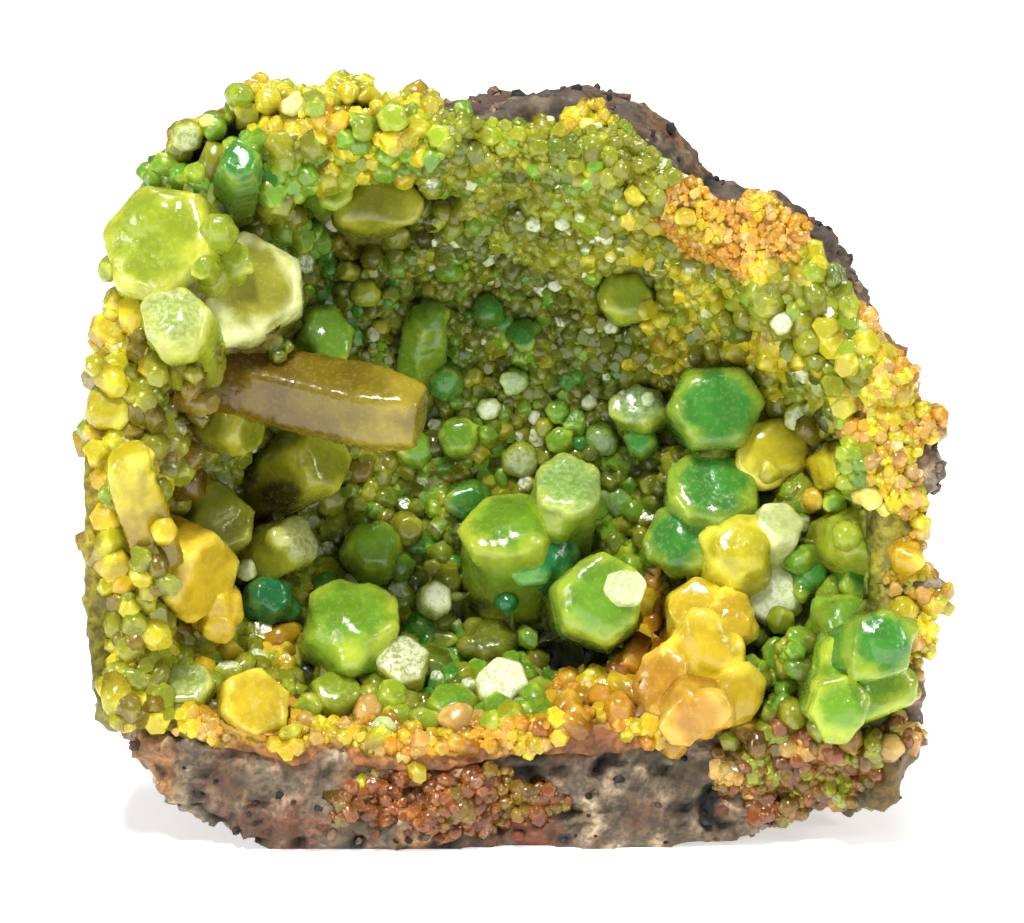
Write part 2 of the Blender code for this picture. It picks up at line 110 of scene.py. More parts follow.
# Crystal finishes: the colour inside, the colour at the rim of the cap, the colour at the root
tints = {
    "lime": (tone(128, 146, 32), tone(170, 174, 58), tone(132, 136, 30)),
    "leaf": (tone(98, 138, 33), tone(156, 172, 49), tone(104, 112, 25)),
    "deep": (tone(58, 120, 40), tone(134, 156, 46), tone(84, 100, 24)),
    "teal": (tone(26, 100, 52), tone(92, 142, 67), tone(58, 90, 35)),
    "olive": (tone(122, 126, 27), tone(156, 156, 43), tone(98, 92, 20)),
    "moss": (tone(92, 104, 25), tone(128, 134, 40), tone(66, 68, 17)),
    "yellow": (tone(176, 164, 30), tone(212, 202, 70), tone(142, 120, 24)),
    "gold": (tone(184, 156, 30), tone(214, 194, 62), tone(146, 110, 22)),
    "amber": (tone(176, 126, 32), tone(204, 164, 62), tone(136, 84, 20)),
    "honey": (tone(106, 92, 20), tone(140, 124, 35), tone(94, 72, 16)),
    # The rim colour here is a painted reflection: a silvery pale edge on an olive crystal
    "oliveWithPaintedSheen": (tone(130, 130, 38), tone(206, 212, 148), tone(106, 86, 30)),
    "brown": (tone(112, 84, 27), tone(134, 108, 41), tone(82, 58, 17)),
    "rust": (tone(118, 66, 30), tone(156, 104, 51), tone(84, 42, 17)),
    "tan": (tone(178, 142, 73), tone(204, 172, 99), tone(134, 98, 46)),
    "cream": (tone(208, 196, 96), tone(228, 222, 132), tone(176, 154, 64)),
    # Whitish, for caps that glint: a painted highlight
    "pale": (tone(168, 182, 99), tone(222, 228, 158), tone(116, 122, 48)),
}

# Crystal habits: rings of height and radius up the crystal, as shares of its length and radius
habits = {
    "prism": ((0.0, 0.95), (0.90, 1.0), (1.0, 0.82)),
    "tablet": ((0.0, 0.94), (0.84, 1.0), (1.0, 0.90)),
    "barrel": ((0.0, 0.60), (0.24, 0.86), (0.50, 1.0), (0.72, 0.97), (0.90, 0.80), (1.0, 0.52)),
    "stub": ((0.0, 0.88), (0.40, 0.98), (0.70, 1.0), (0.90, 0.84), (1.0, 0.60)),
    "ball": ((0.0, 0.55), (0.2, 0.85), (0.45, 1.0), (0.68, 0.96), (0.84, 0.80), (0.94, 0.58), (1.0, 0.32)),
    "point": ((0.0, 0.96), (0.55, 1.0), (1.0, 0.66)),
    "grain": ((0.0, 0.80), (0.55, 1.0), (0.86, 0.84), (1.0, 0.52)),
    "plate": ((0.0, 0.84), (0.7, 1.0), (1.0, 0.88)),
    "knob": ((0.0, 0.76), (0.50, 1.0), (0.80, 0.80), (1.0, 0.36)),
}


def cutAway(bm, place, outward):
    # One flat face: what lies beyond it goes, and the hole is closed
    parts = bm.verts[:] + bm.edges[:] + bm.faces[:]
    cut = bmesh.ops.bisect_plane(bm, geom=parts, plane_co=place, plane_no=outward, clear_outer=True)
    rim = [item for item in cut["geom_cut"] if isinstance(item, bmesh.types.BMEdge)]
    if len(rim) > 2:
        bmesh.ops.edgeloop_fill(bm, edges=rim)


# What the crystals' finish reads from the vertices
layerKinds = {
    "Local": "float_vector", "Core": "float_color", "Rim": "float_color", "Root": "float_color",
    "PaintedGlint": "float",
}


def layersOf(bm):
    found = {}
    for name, kind in layerKinds.items():
        layers = getattr(bm.verts.layers, kind)
        found[name] = layers.get(name) or layers.new(name)
    return found


def markLocal(bm, radius, length):
    # Where each vertex lies on its crystal, as shares of its radius and length
    apothem = radius * math.cos(math.pi / 6)
    local = layersOf(bm)["Local"]
    for vertex in bm.verts:
        vertex[local] = Vector((vertex.co.x / apothem, vertex.co.y / apothem, vertex.co.z / length))


def soften(bm):
    axes = {f"use_axis_{axis}": True for axis in "xyz"}
    bmesh.ops.smooth_vert(bm, verts=bm.verts, factor=0.5, **axes)


def facetCrystal(habit, radius, length, chance, uneven, rounded, segments, flat=True):
    # A block cut by one plane for every face: it stands on z = 0, in millimetres
    rings = habits[habit]
    apothem = radius * math.cos(math.pi / 6)
    bm = bmesh.new()
    bmesh.ops.create_cube(bm, size=1.0)
    bmesh.ops.scale(bm, verts=bm.verts, vec=(radius * 4, radius * 4, length))
    bmesh.ops.translate(bm, verts=bm.verts, vec=(0.0, 0.0, length / 2))
    shares = [1.0 + chance.uniform(-uneven, uneven) for _ in range(6)]
    for (low, inner), (high, outer) in zip(rings, rings[1:]):
        rise = (high - low) * length
        slope = (inner - outer) * apothem
        for side in range(6):
            turn = math.radians(60 * side + 30) + chance.uniform(-0.03, 0.03)
            outward = Vector((math.cos(turn) * rise, math.sin(turn) * rise, slope)).normalized()
            outward.z += chance.uniform(-0.03, 0.03)
            reach = inner * apothem * shares[side] * (1.0 + chance.uniform(-0.025, 0.025))
            place = Vector((math.cos(turn) * reach, math.sin(turn) * reach, low * length))
            cutAway(bm, place, outward)
    tilt = Vector((chance.uniform(-0.05, 0.05), chance.uniform(-0.05, 0.05), 1.0))
    cutAway(bm, Vector((0.0, 0.0, length * 0.985)), tilt)
    if segments:
        upper = [edge for edge in bm.edges if max(v.co.z for v in edge.verts) > length * 0.05]
        bmesh.ops.bevel(bm, geom=upper, offset=radius * rounded, offset_type="OFFSET", segments=segments,
                        profile=0.5, affect="EDGES", clamp_overlap=True, material=-1)
    bmesh.ops.recalc_face_normals(bm, faces=bm.faces)
    markLocal(bm, radius, length)
    for face in bm.faces:
        face.smooth = not flat or face.calc_area() < radius * radius * 0.10
    return bm


def grownCrystal(habit, radius, length, chance, buds, growth):
    # A crystal with smaller ones grown out of its sides near the tip, melted into one skin
    flat = habit in ("prism", "tablet")
    whole = facetCrystal(habit, radius, length, chance, 0.10, 0.05 if flat else 0.12, 1)
    kind = "stub" if flat else habit
    for _ in range(buds):
        turn = chance.uniform(0.0, math.tau)
        side = Vector((math.cos(turn), math.sin(turn), 0.0))
        if chance.random() < growth["plates"]:
            # A plate lying parallel with the cap, its edges in line with the crystal's
            small = radius * chance.uniform(0.40, 0.78)
            deep = radius * 0.7
            tip = side * radius * chance.uniform(0.15, 0.60)
            tip.z = length + radius * chance.uniform(-0.22, 0.16)
            bud = facetCrystal("plate", small, deep, chance, 0.16, 0.06, 1)
            stand = standing(tip * mm, side * 0.04 + Vector((0.0, 0.0, 1.0)), deep, 0.0)
        else:
            small = radius * chance.uniform(0.26, 0.46)
            deep = 2.4 * small
            tip = side * radius * chance.uniform(0.60, 0.95)
            tip.z = length - radius * chance.uniform(-0.02, 0.75)
            bud = facetCrystal(kind, small, deep, chance, 0.14, 0.10, 1)
            lean = side * chance.uniform(0.1, 0.5) + Vector((0.0, 0.0, 1.0))
            stand = standing(tip * mm, lean, deep, 60.0 * turn)
        addInto(whole, bud, Matrix.Scale(1.0 / mm, 4) @ stand)
    bm = remeshed(whole, "grown", radius * growth["detail"])
    for _ in range(growth["rounds"]):
        soften(bm)
    bm.normal_update()
    shift = Vector(chance.uniform(-50.0, 50.0) for _ in range(3))
    lumps = growth["flatLumps"] if flat else growth["lumps"]
    moves = []
    for vertex in bm.verts:
        place = vertex.co
        relief = lumps * noise.noise(place / growth["lumpSize"] + shift)
        relief += 0.4 * lumps * noise.noise(place / growth["lumpSize"] * 2.7 + shift)
        wave = place.z / growth["step"] + 0.8 * noise.noise(place / 2.5 + shift)
        ridge = abs(2.0 * (wave - math.floor(wave)) - 1.0)
        relief += growth["stepDepth"] * ridge * (1.0 - abs(vertex.normal.z))
        moves.append(vertex.normal * relief * radius ** 0.5)
    for vertex, move in zip(bm.verts, moves):
        vertex.co += move
    markLocal(bm, radius, length)
    for face in bm.faces:
        face.smooth = True
    return bm


def paint(bm, tint, paintedGlint, chance, spread=0.10):
    # The crystal's own colours, a little lighter or darker and warmer or cooler than its neighbours', and how
    # much painted glint its cap has
    layers = layersOf(bm)
    core, rim, root = tints[tint]
    light = 1.0 + chance.uniform(-spread, spread)
    warm = chance.uniform(-spread, spread)
    shift = (light * (1.0 + warm), light, light * (1.0 - warm), 1.0)
    colors = [tuple(value * change for value, change in zip(color, shift)) for color in (core, rim, root)]
    for vertex in bm.verts:
        vertex[layers["Core"]] = colors[0]
        vertex[layers["Rim"]] = colors[1]
        vertex[layers["Root"]] = colors[2]
        vertex[layers["PaintedGlint"]] = paintedGlint


def standing(tip, axis, length, turn):
    # Moves a crystal from its own millimetres to its place, with its cap's middle at the tip
    aim = axis.normalized()
    place = Matrix.Translation(tip - aim * length * mm)
    stand = aim.to_track_quat("Z", "Y").to_matrix().to_4x4()
    return place @ stand @ Matrix.Rotation(math.radians(turn), 4, "Z") @ Matrix.Scale(mm, 4)


def addInto(whole, bm, matrix):
    bmesh.ops.transform(bm, matrix=matrix, verts=bm.verts)
    mesh = bpy.data.meshes.new("part")
    bm.to_mesh(mesh)
    bm.free()
    whole.from_mesh(mesh)
    bpy.data.meshes.remove(mesh)


def finishedPiece(bm, name, material, slot, *nodes):
    for vertex in bm.verts:
        vertex.co.z = max(vertex.co.z, 0.0)
    mesh = bpy.data.meshes.new(name)
    bm.to_mesh(mesh)
    bm.free()
    mesh.materials.clear()
    mesh.materials.append(material)
    piece = bpy.data.objects.new(name, mesh)
    bpy.context.scene.collection.objects.link(piece)
    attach(piece, "root")
    if nodes:
        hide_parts(*nodes)
    triangles = sum(len(polygon.vertices) - 2 for polygon in mesh.polygons)
    print(f"{name}: {triangles} triangles")


# Nodes

def addNode(tree, kind, values=None, **settings):
    node = tree.nodes.new(kind)
    for name, value in settings.items():
        setattr(node, name, value)
    for name, value in (values or {}).items():
        node.inputs[name].default_value = value
    return node


def mathNode(tree, operation, first, second=None):
    node = addNode(tree, "ShaderNodeMath", operation=operation)
    for socket, value in zip(node.inputs, (first, second)):
        if value is None:
            continue
        if isinstance(value, (int, float)):
            socket.default_value = value
        else:
            tree.links.new(value, socket)
    return node.outputs["Value"]


def mixNode(tree, factor, first, second, blend="MIX"):
    node = addNode(tree, "ShaderNodeMix", data_type="RGBA", blend_type=blend, clamp_factor=True)
    # Inputs 6 and 7 are the two colours, and output 2 is their mix
    sockets = (node.inputs["Factor"], node.inputs[6], node.inputs[7])
    for socket, value in zip(sockets, (factor, first, second)):
        if isinstance(value, (int, float, tuple)):
            socket.default_value = value
        else:
            tree.links.new(value, socket)
    return node.outputs[2]


def rangeNode(tree, value, low, high, toLow=0.0, toHigh=1.0):
    limits = {"From Min": low, "From Max": high, "To Min": toLow, "To Max": toHigh}
    node = addNode(tree, "ShaderNodeMapRange", limits, interpolation_type="SMOOTHSTEP")
    tree.links.new(value, node.inputs["Value"])
    return node.outputs["Result"]


def mottleGroup():
    # Soft patches and fine grain over the surface, used by every finish
    group = bpy.data.node_groups.new("mottle", "ShaderNodeTree")
    for name, start in (("Patch Scale", 300.0), ("Grain Scale", 2200.0)):
        socket = group.interface.new_socket(name=name, in_out="INPUT", socket_type="NodeSocketFloat")
        socket.default_value = start
    for name in ("Patches", "Grain", "Relief"):
        group.interface.new_socket(name=name, in_out="OUTPUT", socket_type="NodeSocketFloat")
    given = group.nodes.new("NodeGroupInput")
    result = group.nodes.new("NodeGroupOutput")
    place = addNode(group, "ShaderNodeTexCoord").outputs["Object"]
    fields = []
    for name in ("Patch Scale", "Grain Scale"):
        field = addNode(group, "ShaderNodeTexNoise", {"Detail": 2.0, "Roughness": 0.6})
        group.links.new(place, field.inputs["Vector"])
        group.links.new(given.outputs[name], field.inputs["Scale"])
        fields.append(field.outputs["Fac"])
    group.links.new(rangeNode(group, fields[0], 0.35, 0.65), result.inputs["Patches"])
    group.links.new(rangeNode(group, fields[1], 0.30, 0.70), result.inputs["Grain"])
    fine = mathNode(group, "MULTIPLY", fields[1], 0.16)
    group.links.new(mathNode(group, "ADD", fields[0], fine), result.inputs["Relief"])
    return group


def placeGroup(tree, group, patchScale, grainScale):
    node = addNode(tree, "ShaderNodeGroup", {}, node_tree=group)
    node.inputs["Patch Scale"].default_value = patchScale
    node.inputs["Grain Scale"].default_value = grainScale
    return node


crystal = {
    "patchScale": 420.0,
    "grainScale": 2600.0,
    "wander": 0.18,
    "speck": tone(236, 226, 110),
    "speckShare": 0.04,
    # Near white painted onto the caps that glint
    "paintedGlint": tone(214, 220, 190),
    "roughness": (0.09, 0.30),
    "bumpStrength": 0.70,
    "bumpDepth": 0.00026,
    "ior": 1.52,
    "subsurface": 0.60,
    "subsurfaceRadius": (1.0, 0.9, 0.25),
    "subsurfaceScale": 0.0012,
}


def crystalMaterial(group):
    material = bpy.data.materials.new("mimetite crystal")
    material.use_nodes = True
    tree = material.node_tree
    shader = tree.nodes["Principled BSDF"]
    core, rim, root, local, paintedGlint = (
        addNode(tree, "ShaderNodeAttribute", attribute_name=name)
        for name in ("Core", "Rim", "Root", "Local", "PaintedGlint")
    )
    split = addNode(tree, "ShaderNodeSeparateXYZ")
    tree.links.new(local.outputs["Vector"], split.inputs["Vector"])
    x, y, height = split.outputs
    # How far out from the crystal's axis, on hexagons
    first = mathNode(tree, "ABSOLUTE", x)
    slant = mathNode(tree, "MULTIPLY", x, 0.5)
    lean = mathNode(tree, "MULTIPLY", y, 0.866)
    second = mathNode(tree, "ABSOLUTE", mathNode(tree, "ADD", slant, lean))
    third = mathNode(tree, "ABSOLUTE", mathNode(tree, "SUBTRACT", slant, lean))
    outer = mathNode(tree, "MAXIMUM", first, mathNode(tree, "MAXIMUM", second, third))
    mottle = placeGroup(tree, group, crystal["patchScale"], crystal["grainScale"])
    patches = mottle.outputs["Patches"]
    grain = mottle.outputs["Grain"]
    wander = mathNode(tree, "MULTIPLY", mathNode(tree, "SUBTRACT", patches, 0.5), crystal["wander"])
    zone = rangeNode(tree, mathNode(tree, "ADD", outer, wander), 0.55, 1.05)
    nearTip = rangeNode(tree, mathNode(tree, "ADD", height, wander), 0.20, 0.95)
    body = mixNode(tree, nearTip, root.outputs["Color"], core.outputs["Color"])
    capZone = mathNode(tree, "MULTIPLY", zone, rangeNode(tree, height, 0.70, 0.98))
    skin = mixNode(tree, capZone, body, rim.outputs["Color"])
    shade = rangeNode(tree, patches, 0.0, 1.0, 0.86, 1.08)
    shaded = mixNode(tree, 1.0, skin, addColor(tree, shade), "MULTIPLY")
    speck = mathNode(tree, "MULTIPLY", rangeNode(tree, grain, 0.62, 0.95), crystal["speckShare"])
    speckled = mixNode(tree, speck, shaded, crystal["speck"])
    # Painted highlight: caps marked for a glint turn near white near their top, speckled by the grain
    glintOnCaps = mathNode(tree, "MULTIPLY", paintedGlint.outputs["Fac"], rangeNode(tree, height, 0.86, 0.97))
    paintedGlitter = mathNode(tree, "MULTIPLY", glintOnCaps, rangeNode(tree, grain, 0.15, 0.60, 0.30, 0.85))
    color = mixNode(tree, paintedGlitter, speckled, crystal["paintedGlint"])
    tree.links.new(color, shader.inputs["Base Color"])
    rough = rangeNode(tree, grain, 0.0, 1.0, *crystal["roughness"])
    tree.links.new(rough, shader.inputs["Roughness"])
    depth = {"Strength": crystal["bumpStrength"], "Distance": crystal["bumpDepth"]}
    bump = addNode(tree, "ShaderNodeBump", depth)
    tree.links.new(mottle.outputs["Relief"], bump.inputs["Height"])
    tree.links.new(bump.outputs["Normal"], shader.inputs["Normal"])
    shader.inputs["IOR"].default_value = crystal["ior"]
    shader.inputs["Subsurface Weight"].default_value = crystal["subsurface"]
    shader.inputs["Subsurface Radius"].default_value = crystal["subsurfaceRadius"]
    shader.inputs["Subsurface Scale"].default_value = crystal["subsurfaceScale"]
    shader.subsurface_method = "BURLEY"
    return material


def addColor(tree, value):
    node = addNode(tree, "ShaderNodeCombineColor")
    for name in ("Red", "Green", "Blue"):
        tree.links.new(value, node.inputs[name])
    return node.outputs["Color"]


def surfaceMaterial(name, group, patchScale, grainScale, roughness, bumpDepth):
    # Rock and crust: the colour is worked out on the mesh, and mottled here
    material = bpy.data.materials.new(name)
    material.use_nodes = True
    tree = material.node_tree
    shader = tree.nodes["Principled BSDF"]
    own = addNode(tree, "ShaderNodeAttribute", attribute_name="Core")
    mottle = placeGroup(tree, group, patchScale, grainScale)
    patchShade = rangeNode(tree, mottle.outputs["Patches"], 0.0, 1.0, 0.75, 1.20)
    grainShade = rangeNode(tree, mottle.outputs["Grain"], 0.0, 1.0, 0.55, 1.35)
    shade = mathNode(tree, "MULTIPLY", patchShade, grainShade)
    shaded = mixNode(tree, 1.0, own.outputs["Color"], addColor(tree, shade), "MULTIPLY")
    tree.links.new(shaded, shader.inputs["Base Color"])
    rough = rangeNode(tree, mottle.outputs["Grain"], 0.0, 1.0, *roughness)
    tree.links.new(rough, shader.inputs["Roughness"])
    bump = addNode(tree, "ShaderNodeBump", {"Strength": 1.0, "Distance": bumpDepth * mm})
    tree.links.new(mottle.outputs["Relief"], bump.inputs["Height"])
    tree.links.new(bump.outputs["Normal"], shader.inputs["Normal"])
    return material


mottle = mottleGroup()
crystalFinish = crystalMaterial(mottle)
rockFinish = surfaceMaterial("gossan rock", mottle, 260.0, 1900.0, (0.50, 0.95), 0.42)
crustFinish = surfaceMaterial("mimetite crust", mottle, 300.0, 1500.0, (0.30, 0.60), 0.20)
crustFinish.node_tree.nodes["Principled BSDF"].inputs["IOR"].default_value = 1.4
print("materials made")


def mergedCopy(node):
    bm = bmesh.new()
    bm.from_mesh(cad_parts[node].data)
    bmesh.ops.remove_doubles(bm, verts=bm.verts, dist=0.002 * mm)
    return bm


def remeshed(bm, name, voxel):
    # An even skin of small faces over the solid, ready for its fine relief
    mesh = bpy.data.meshes.new(name)
    bm.to_mesh(mesh)
    bm.free()
    item = bpy.data.objects.new(name, mesh)
    bpy.context.scene.collection.objects.link(item)
    modifier = item.modifiers.new("even skin", "REMESH")
    modifier.mode = "VOXEL"
    modifier.voxel_size = voxel
    graph = bpy.context.evaluated_depsgraph_get()
    even = bpy.data.meshes.new_from_object(item.evaluated_get(graph))
    bpy.data.objects.remove(item)
    result = bmesh.new()
    result.from_mesh(even)
    bpy.data.meshes.remove(even)
    return result


def facesOf(bm):
    return [(face.calc_center_median(), face.normal.copy(), face.calc_area()) for face in bm.faces]


def blend(first, second, share):
    return tuple(a + (b - a) * share for a, b in zip(first, second))


def smooth(value, low, high):
    share = min(max((value - low) / (high - low), 0.0), 1.0)
    return share * share * (3.0 - 2.0 * share)


# The rock
rock = {
    "voxel": 0.50,
    "ledges": (4.2, 1.5),
    "ridges": (2.2, 0.75),
    "grains": (1.1, 0.75),
    "pores": (1.9, 1.5),
    "flatness": 2.2,
    "lowered": 0.9,
    "loweredBetween": (46.0, 56.0),
    "grey": tone(96, 82, 64),
    "pale": tone(168, 150, 120),
    "dark": tone(50, 40, 30),
    "rust": tone(104, 52, 28),
    "ochre": tone(158, 108, 52),
    "hollowShade": tone(22, 18, 15),
}


def rockRelief(place):
    # Ledges, ridges, crumbs and pores, all drawn out level as the rock is bedded
    spot = place / mm
    spot.z *= rock["flatness"] ** 0.5
    size, height = rock["ledges"]
    relief = height * noise.noise(spot / size)
    size, height = rock["ridges"]
    relief += height * (1.0 - 2.0 * abs(noise.noise(spot / size + Vector((7.0, 2.0, 5.0)))))
    size, height = rock["grains"]
    relief += height * (0.5 - noise.voronoi(spot / size)[0][0])
    size, height = rock["pores"]
    patch = smooth(noise.noise(spot / 6.0 + Vector((5.0, 5.0, 0.0))), -0.25, 0.25)
    relief -= height * patch * max(0.0, noise.noise(spot / size + Vector((1.0, 9.0, 3.0))) - 0.12) * 2.0
    return relief


def rockColor(place, relief):
    spot = place / mm
    px, py = pixelOf(place)
    wide = noise.noise(spot / 5.0 + Vector((3.0, 1.0, 8.0)))
    fine = noise.noise(spot / 1.4 + Vector((4.0, 4.0, 1.0)))
    color = blend(rock["grey"], rock["pale"], smooth(fine, 0.0, 0.5))
    rusty = smooth(wide + 0.5 * fine, 0.05, 0.45)
    middle = math.exp(-((px - 440.0) / 150.0) ** 2)
    color = blend(color, rock["rust"], min(1.0, rusty * (0.35 + 0.8 * middle)))
    color = blend(color, rock["ochre"], 0.6 * smooth(-wide, 0.15, 0.5))
    top = smooth(spot.z, 34.0, 46.0)
    color = blend(color, rock["dark"], 0.65 * top)
    # Painted shade: the rock darkens towards black where its relief sinks into hollows
    return blend(color, rock["hollowShade"], smooth(-relief, -0.1, 0.7))


def makeRock():
    bm = remeshed(mergedCopy("gossan_matrix"), "gossan rock", rock["voxel"] * mm)
    bm.normal_update()
    layer = layersOf(bm)["Core"]
    moves = []
    for vertex in bm.verts:
        relief = rockRelief(vertex.co)
        vertex[layer] = rockColor(vertex.co, relief)
        fade = smooth(vertex.co.z / mm, 0.05, 1.2) * (1.0 - 0.55 * smooth(vertex.co.z / mm, 44.0, 54.0))
        moves.append(vertex.normal * relief * fade * mm)
    for vertex, move in zip(bm.verts, moves):
        vertex.co += move
        lower = rock["lowered"] * mm * smooth(vertex.co.z / mm, *rock["loweredBetween"])
        vertex.co.z = max(vertex.co.z - lower, 0.0)
    for face in bm.faces:
        face.smooth = True
    bm.normal_update()
    places = facesOf(bm)
    finishedPiece(bm, "gossanRock", rockFinish, "gossan", "gossan_matrix")
    return places


rockTree = BVHTree.FromBMesh(mergedCopy("gossan_matrix"))
crustCad = BVHTree.FromBMesh(mergedCopy("mimetite_crust"))
rockFaces = makeRock()

# Loose-looking crumbs grown on the rock
crumbs = {
    "seed": 3,
    "count": 3600,
    "sizes": (0.22, 0.85),
    "tones": (
        tone(92, 76, 58), tone(128, 108, 82), tone(44, 34, 26), tone(88, 52, 34), tone(112, 88, 60),
        tone(24, 20, 17),
    ),
    "beads": (tone(104, 50, 32), tone(128, 70, 42), tone(84, 42, 28)),
    "beadsX": (335, 580),
    "beadsY": (768, 835),
}


def crumbShapes():
    chance = random.Random(31)
    shapes = []
    for index in range(12):
        bm = bmesh.new()
        bmesh.ops.create_icosphere(bm, subdivisions=1, radius=1.0)
        for vertex in bm.verts:
            vertex.co *= chance.uniform(0.62, 1.15)
        bmesh.ops.scale(bm, verts=bm.verts, vec=(1.0, chance.uniform(0.6, 1.0), chance.uniform(0.5, 0.9)))
        layersOf(bm)
        mesh = bpy.data.meshes.new(f"crumb {index}")
        bm.to_mesh(mesh)
        bm.free()
        shapes.append(mesh)
    return shapes


def makeCrumbs():
    chance = random.Random(crumbs["seed"])
    shapes = crumbShapes()
    whole = bmesh.new()
    layersOf(whole)
    chosen = chance.choices(rockFaces, weights=[area for _, _, area in rockFaces], k=crumbs["count"])
    smallest, largest = crumbs["sizes"]
    left, right = crumbs["beadsX"]
    upper, lower = crumbs["beadsY"]
    for middle, normal, _ in chosen:
        radius = smallest + (largest - smallest) * chance.random() ** 2
        if middle.z < radius * mm or underCrust(middle):
            continue
        px, py = pixelOf(middle)
        beads = normal.y < -0.2 and left < px < right and upper < py < lower
        color = chance.choice(crumbs["beads"] if beads else crumbs["tones"])
        light = chance.uniform(0.75, 1.2)
        copy = chance.choice(shapes).copy()
        aim = Vector(chance.uniform(-1.0, 1.0) for _ in range(3))
        turn = aim.to_track_quat("Z", "Y").to_matrix().to_4x4()
        place = middle + normal * radius * 0.15 * mm
        copy.transform(Matrix.Translation(place) @ turn @ Matrix.Scale(radius * mm, 4))
        tinted = np.array((color[0] * light, color[1] * light, color[2] * light, 1.0))
        copy.attributes["Core"].data.foreach_set("color", np.tile(tinted, len(copy.vertices)))
        whole.from_mesh(copy)
        bpy.data.meshes.remove(copy)
    for shape in shapes:
        bpy.data.meshes.remove(shape)
    finishedPiece(whole, "rockCrumbs", rockFinish, "gossan")


def underCrust(place):
    # The rock under the crust stays bare
    return crustCad.find_nearest(place)[3] < 1.2 * mm


makeCrumbs()

# Gaps between the crystals, in the frame: middle, half width and half height. The crust sinks there, few
# crystals grow there, and shade is painted there
gaps = (
    (203, 167, 13, 11), (445, 200, 26, 9), (366, 258, 30, 8), (175, 406, 15, 15), (280, 494, 24, 16),
    (338, 460, 12, 8), (422, 521, 12, 9), (453, 560, 12, 9), (480, 605, 14, 8), (570, 650, 62, 30),
    (627, 544, 13, 16), (858, 416, 13, 11), (306, 684, 12, 8), (198, 646, 12, 9), (165, 479, 10, 8),
    (834, 440, 10, 20), (725, 345, 9, 8), (640, 470, 10, 8), (250, 470, 10, 14),
)


def inGap(place):
    # How far into one of the gaps between the crystals a place lies, 0 to 1, which also sets how much painted
    # shade falls there
    px, py = pixelOf(place)
    if place.y > 0.012:
        return 0.0
    deepest = 0.0
    for midX, midY, halfWide, halfHigh in gaps:
        distance = math.hypot((px - midX) / halfWide, (py - midY) / halfHigh)
        deepest = max(deepest, smooth(-distance, -1.15, -0.7))
    return deepest
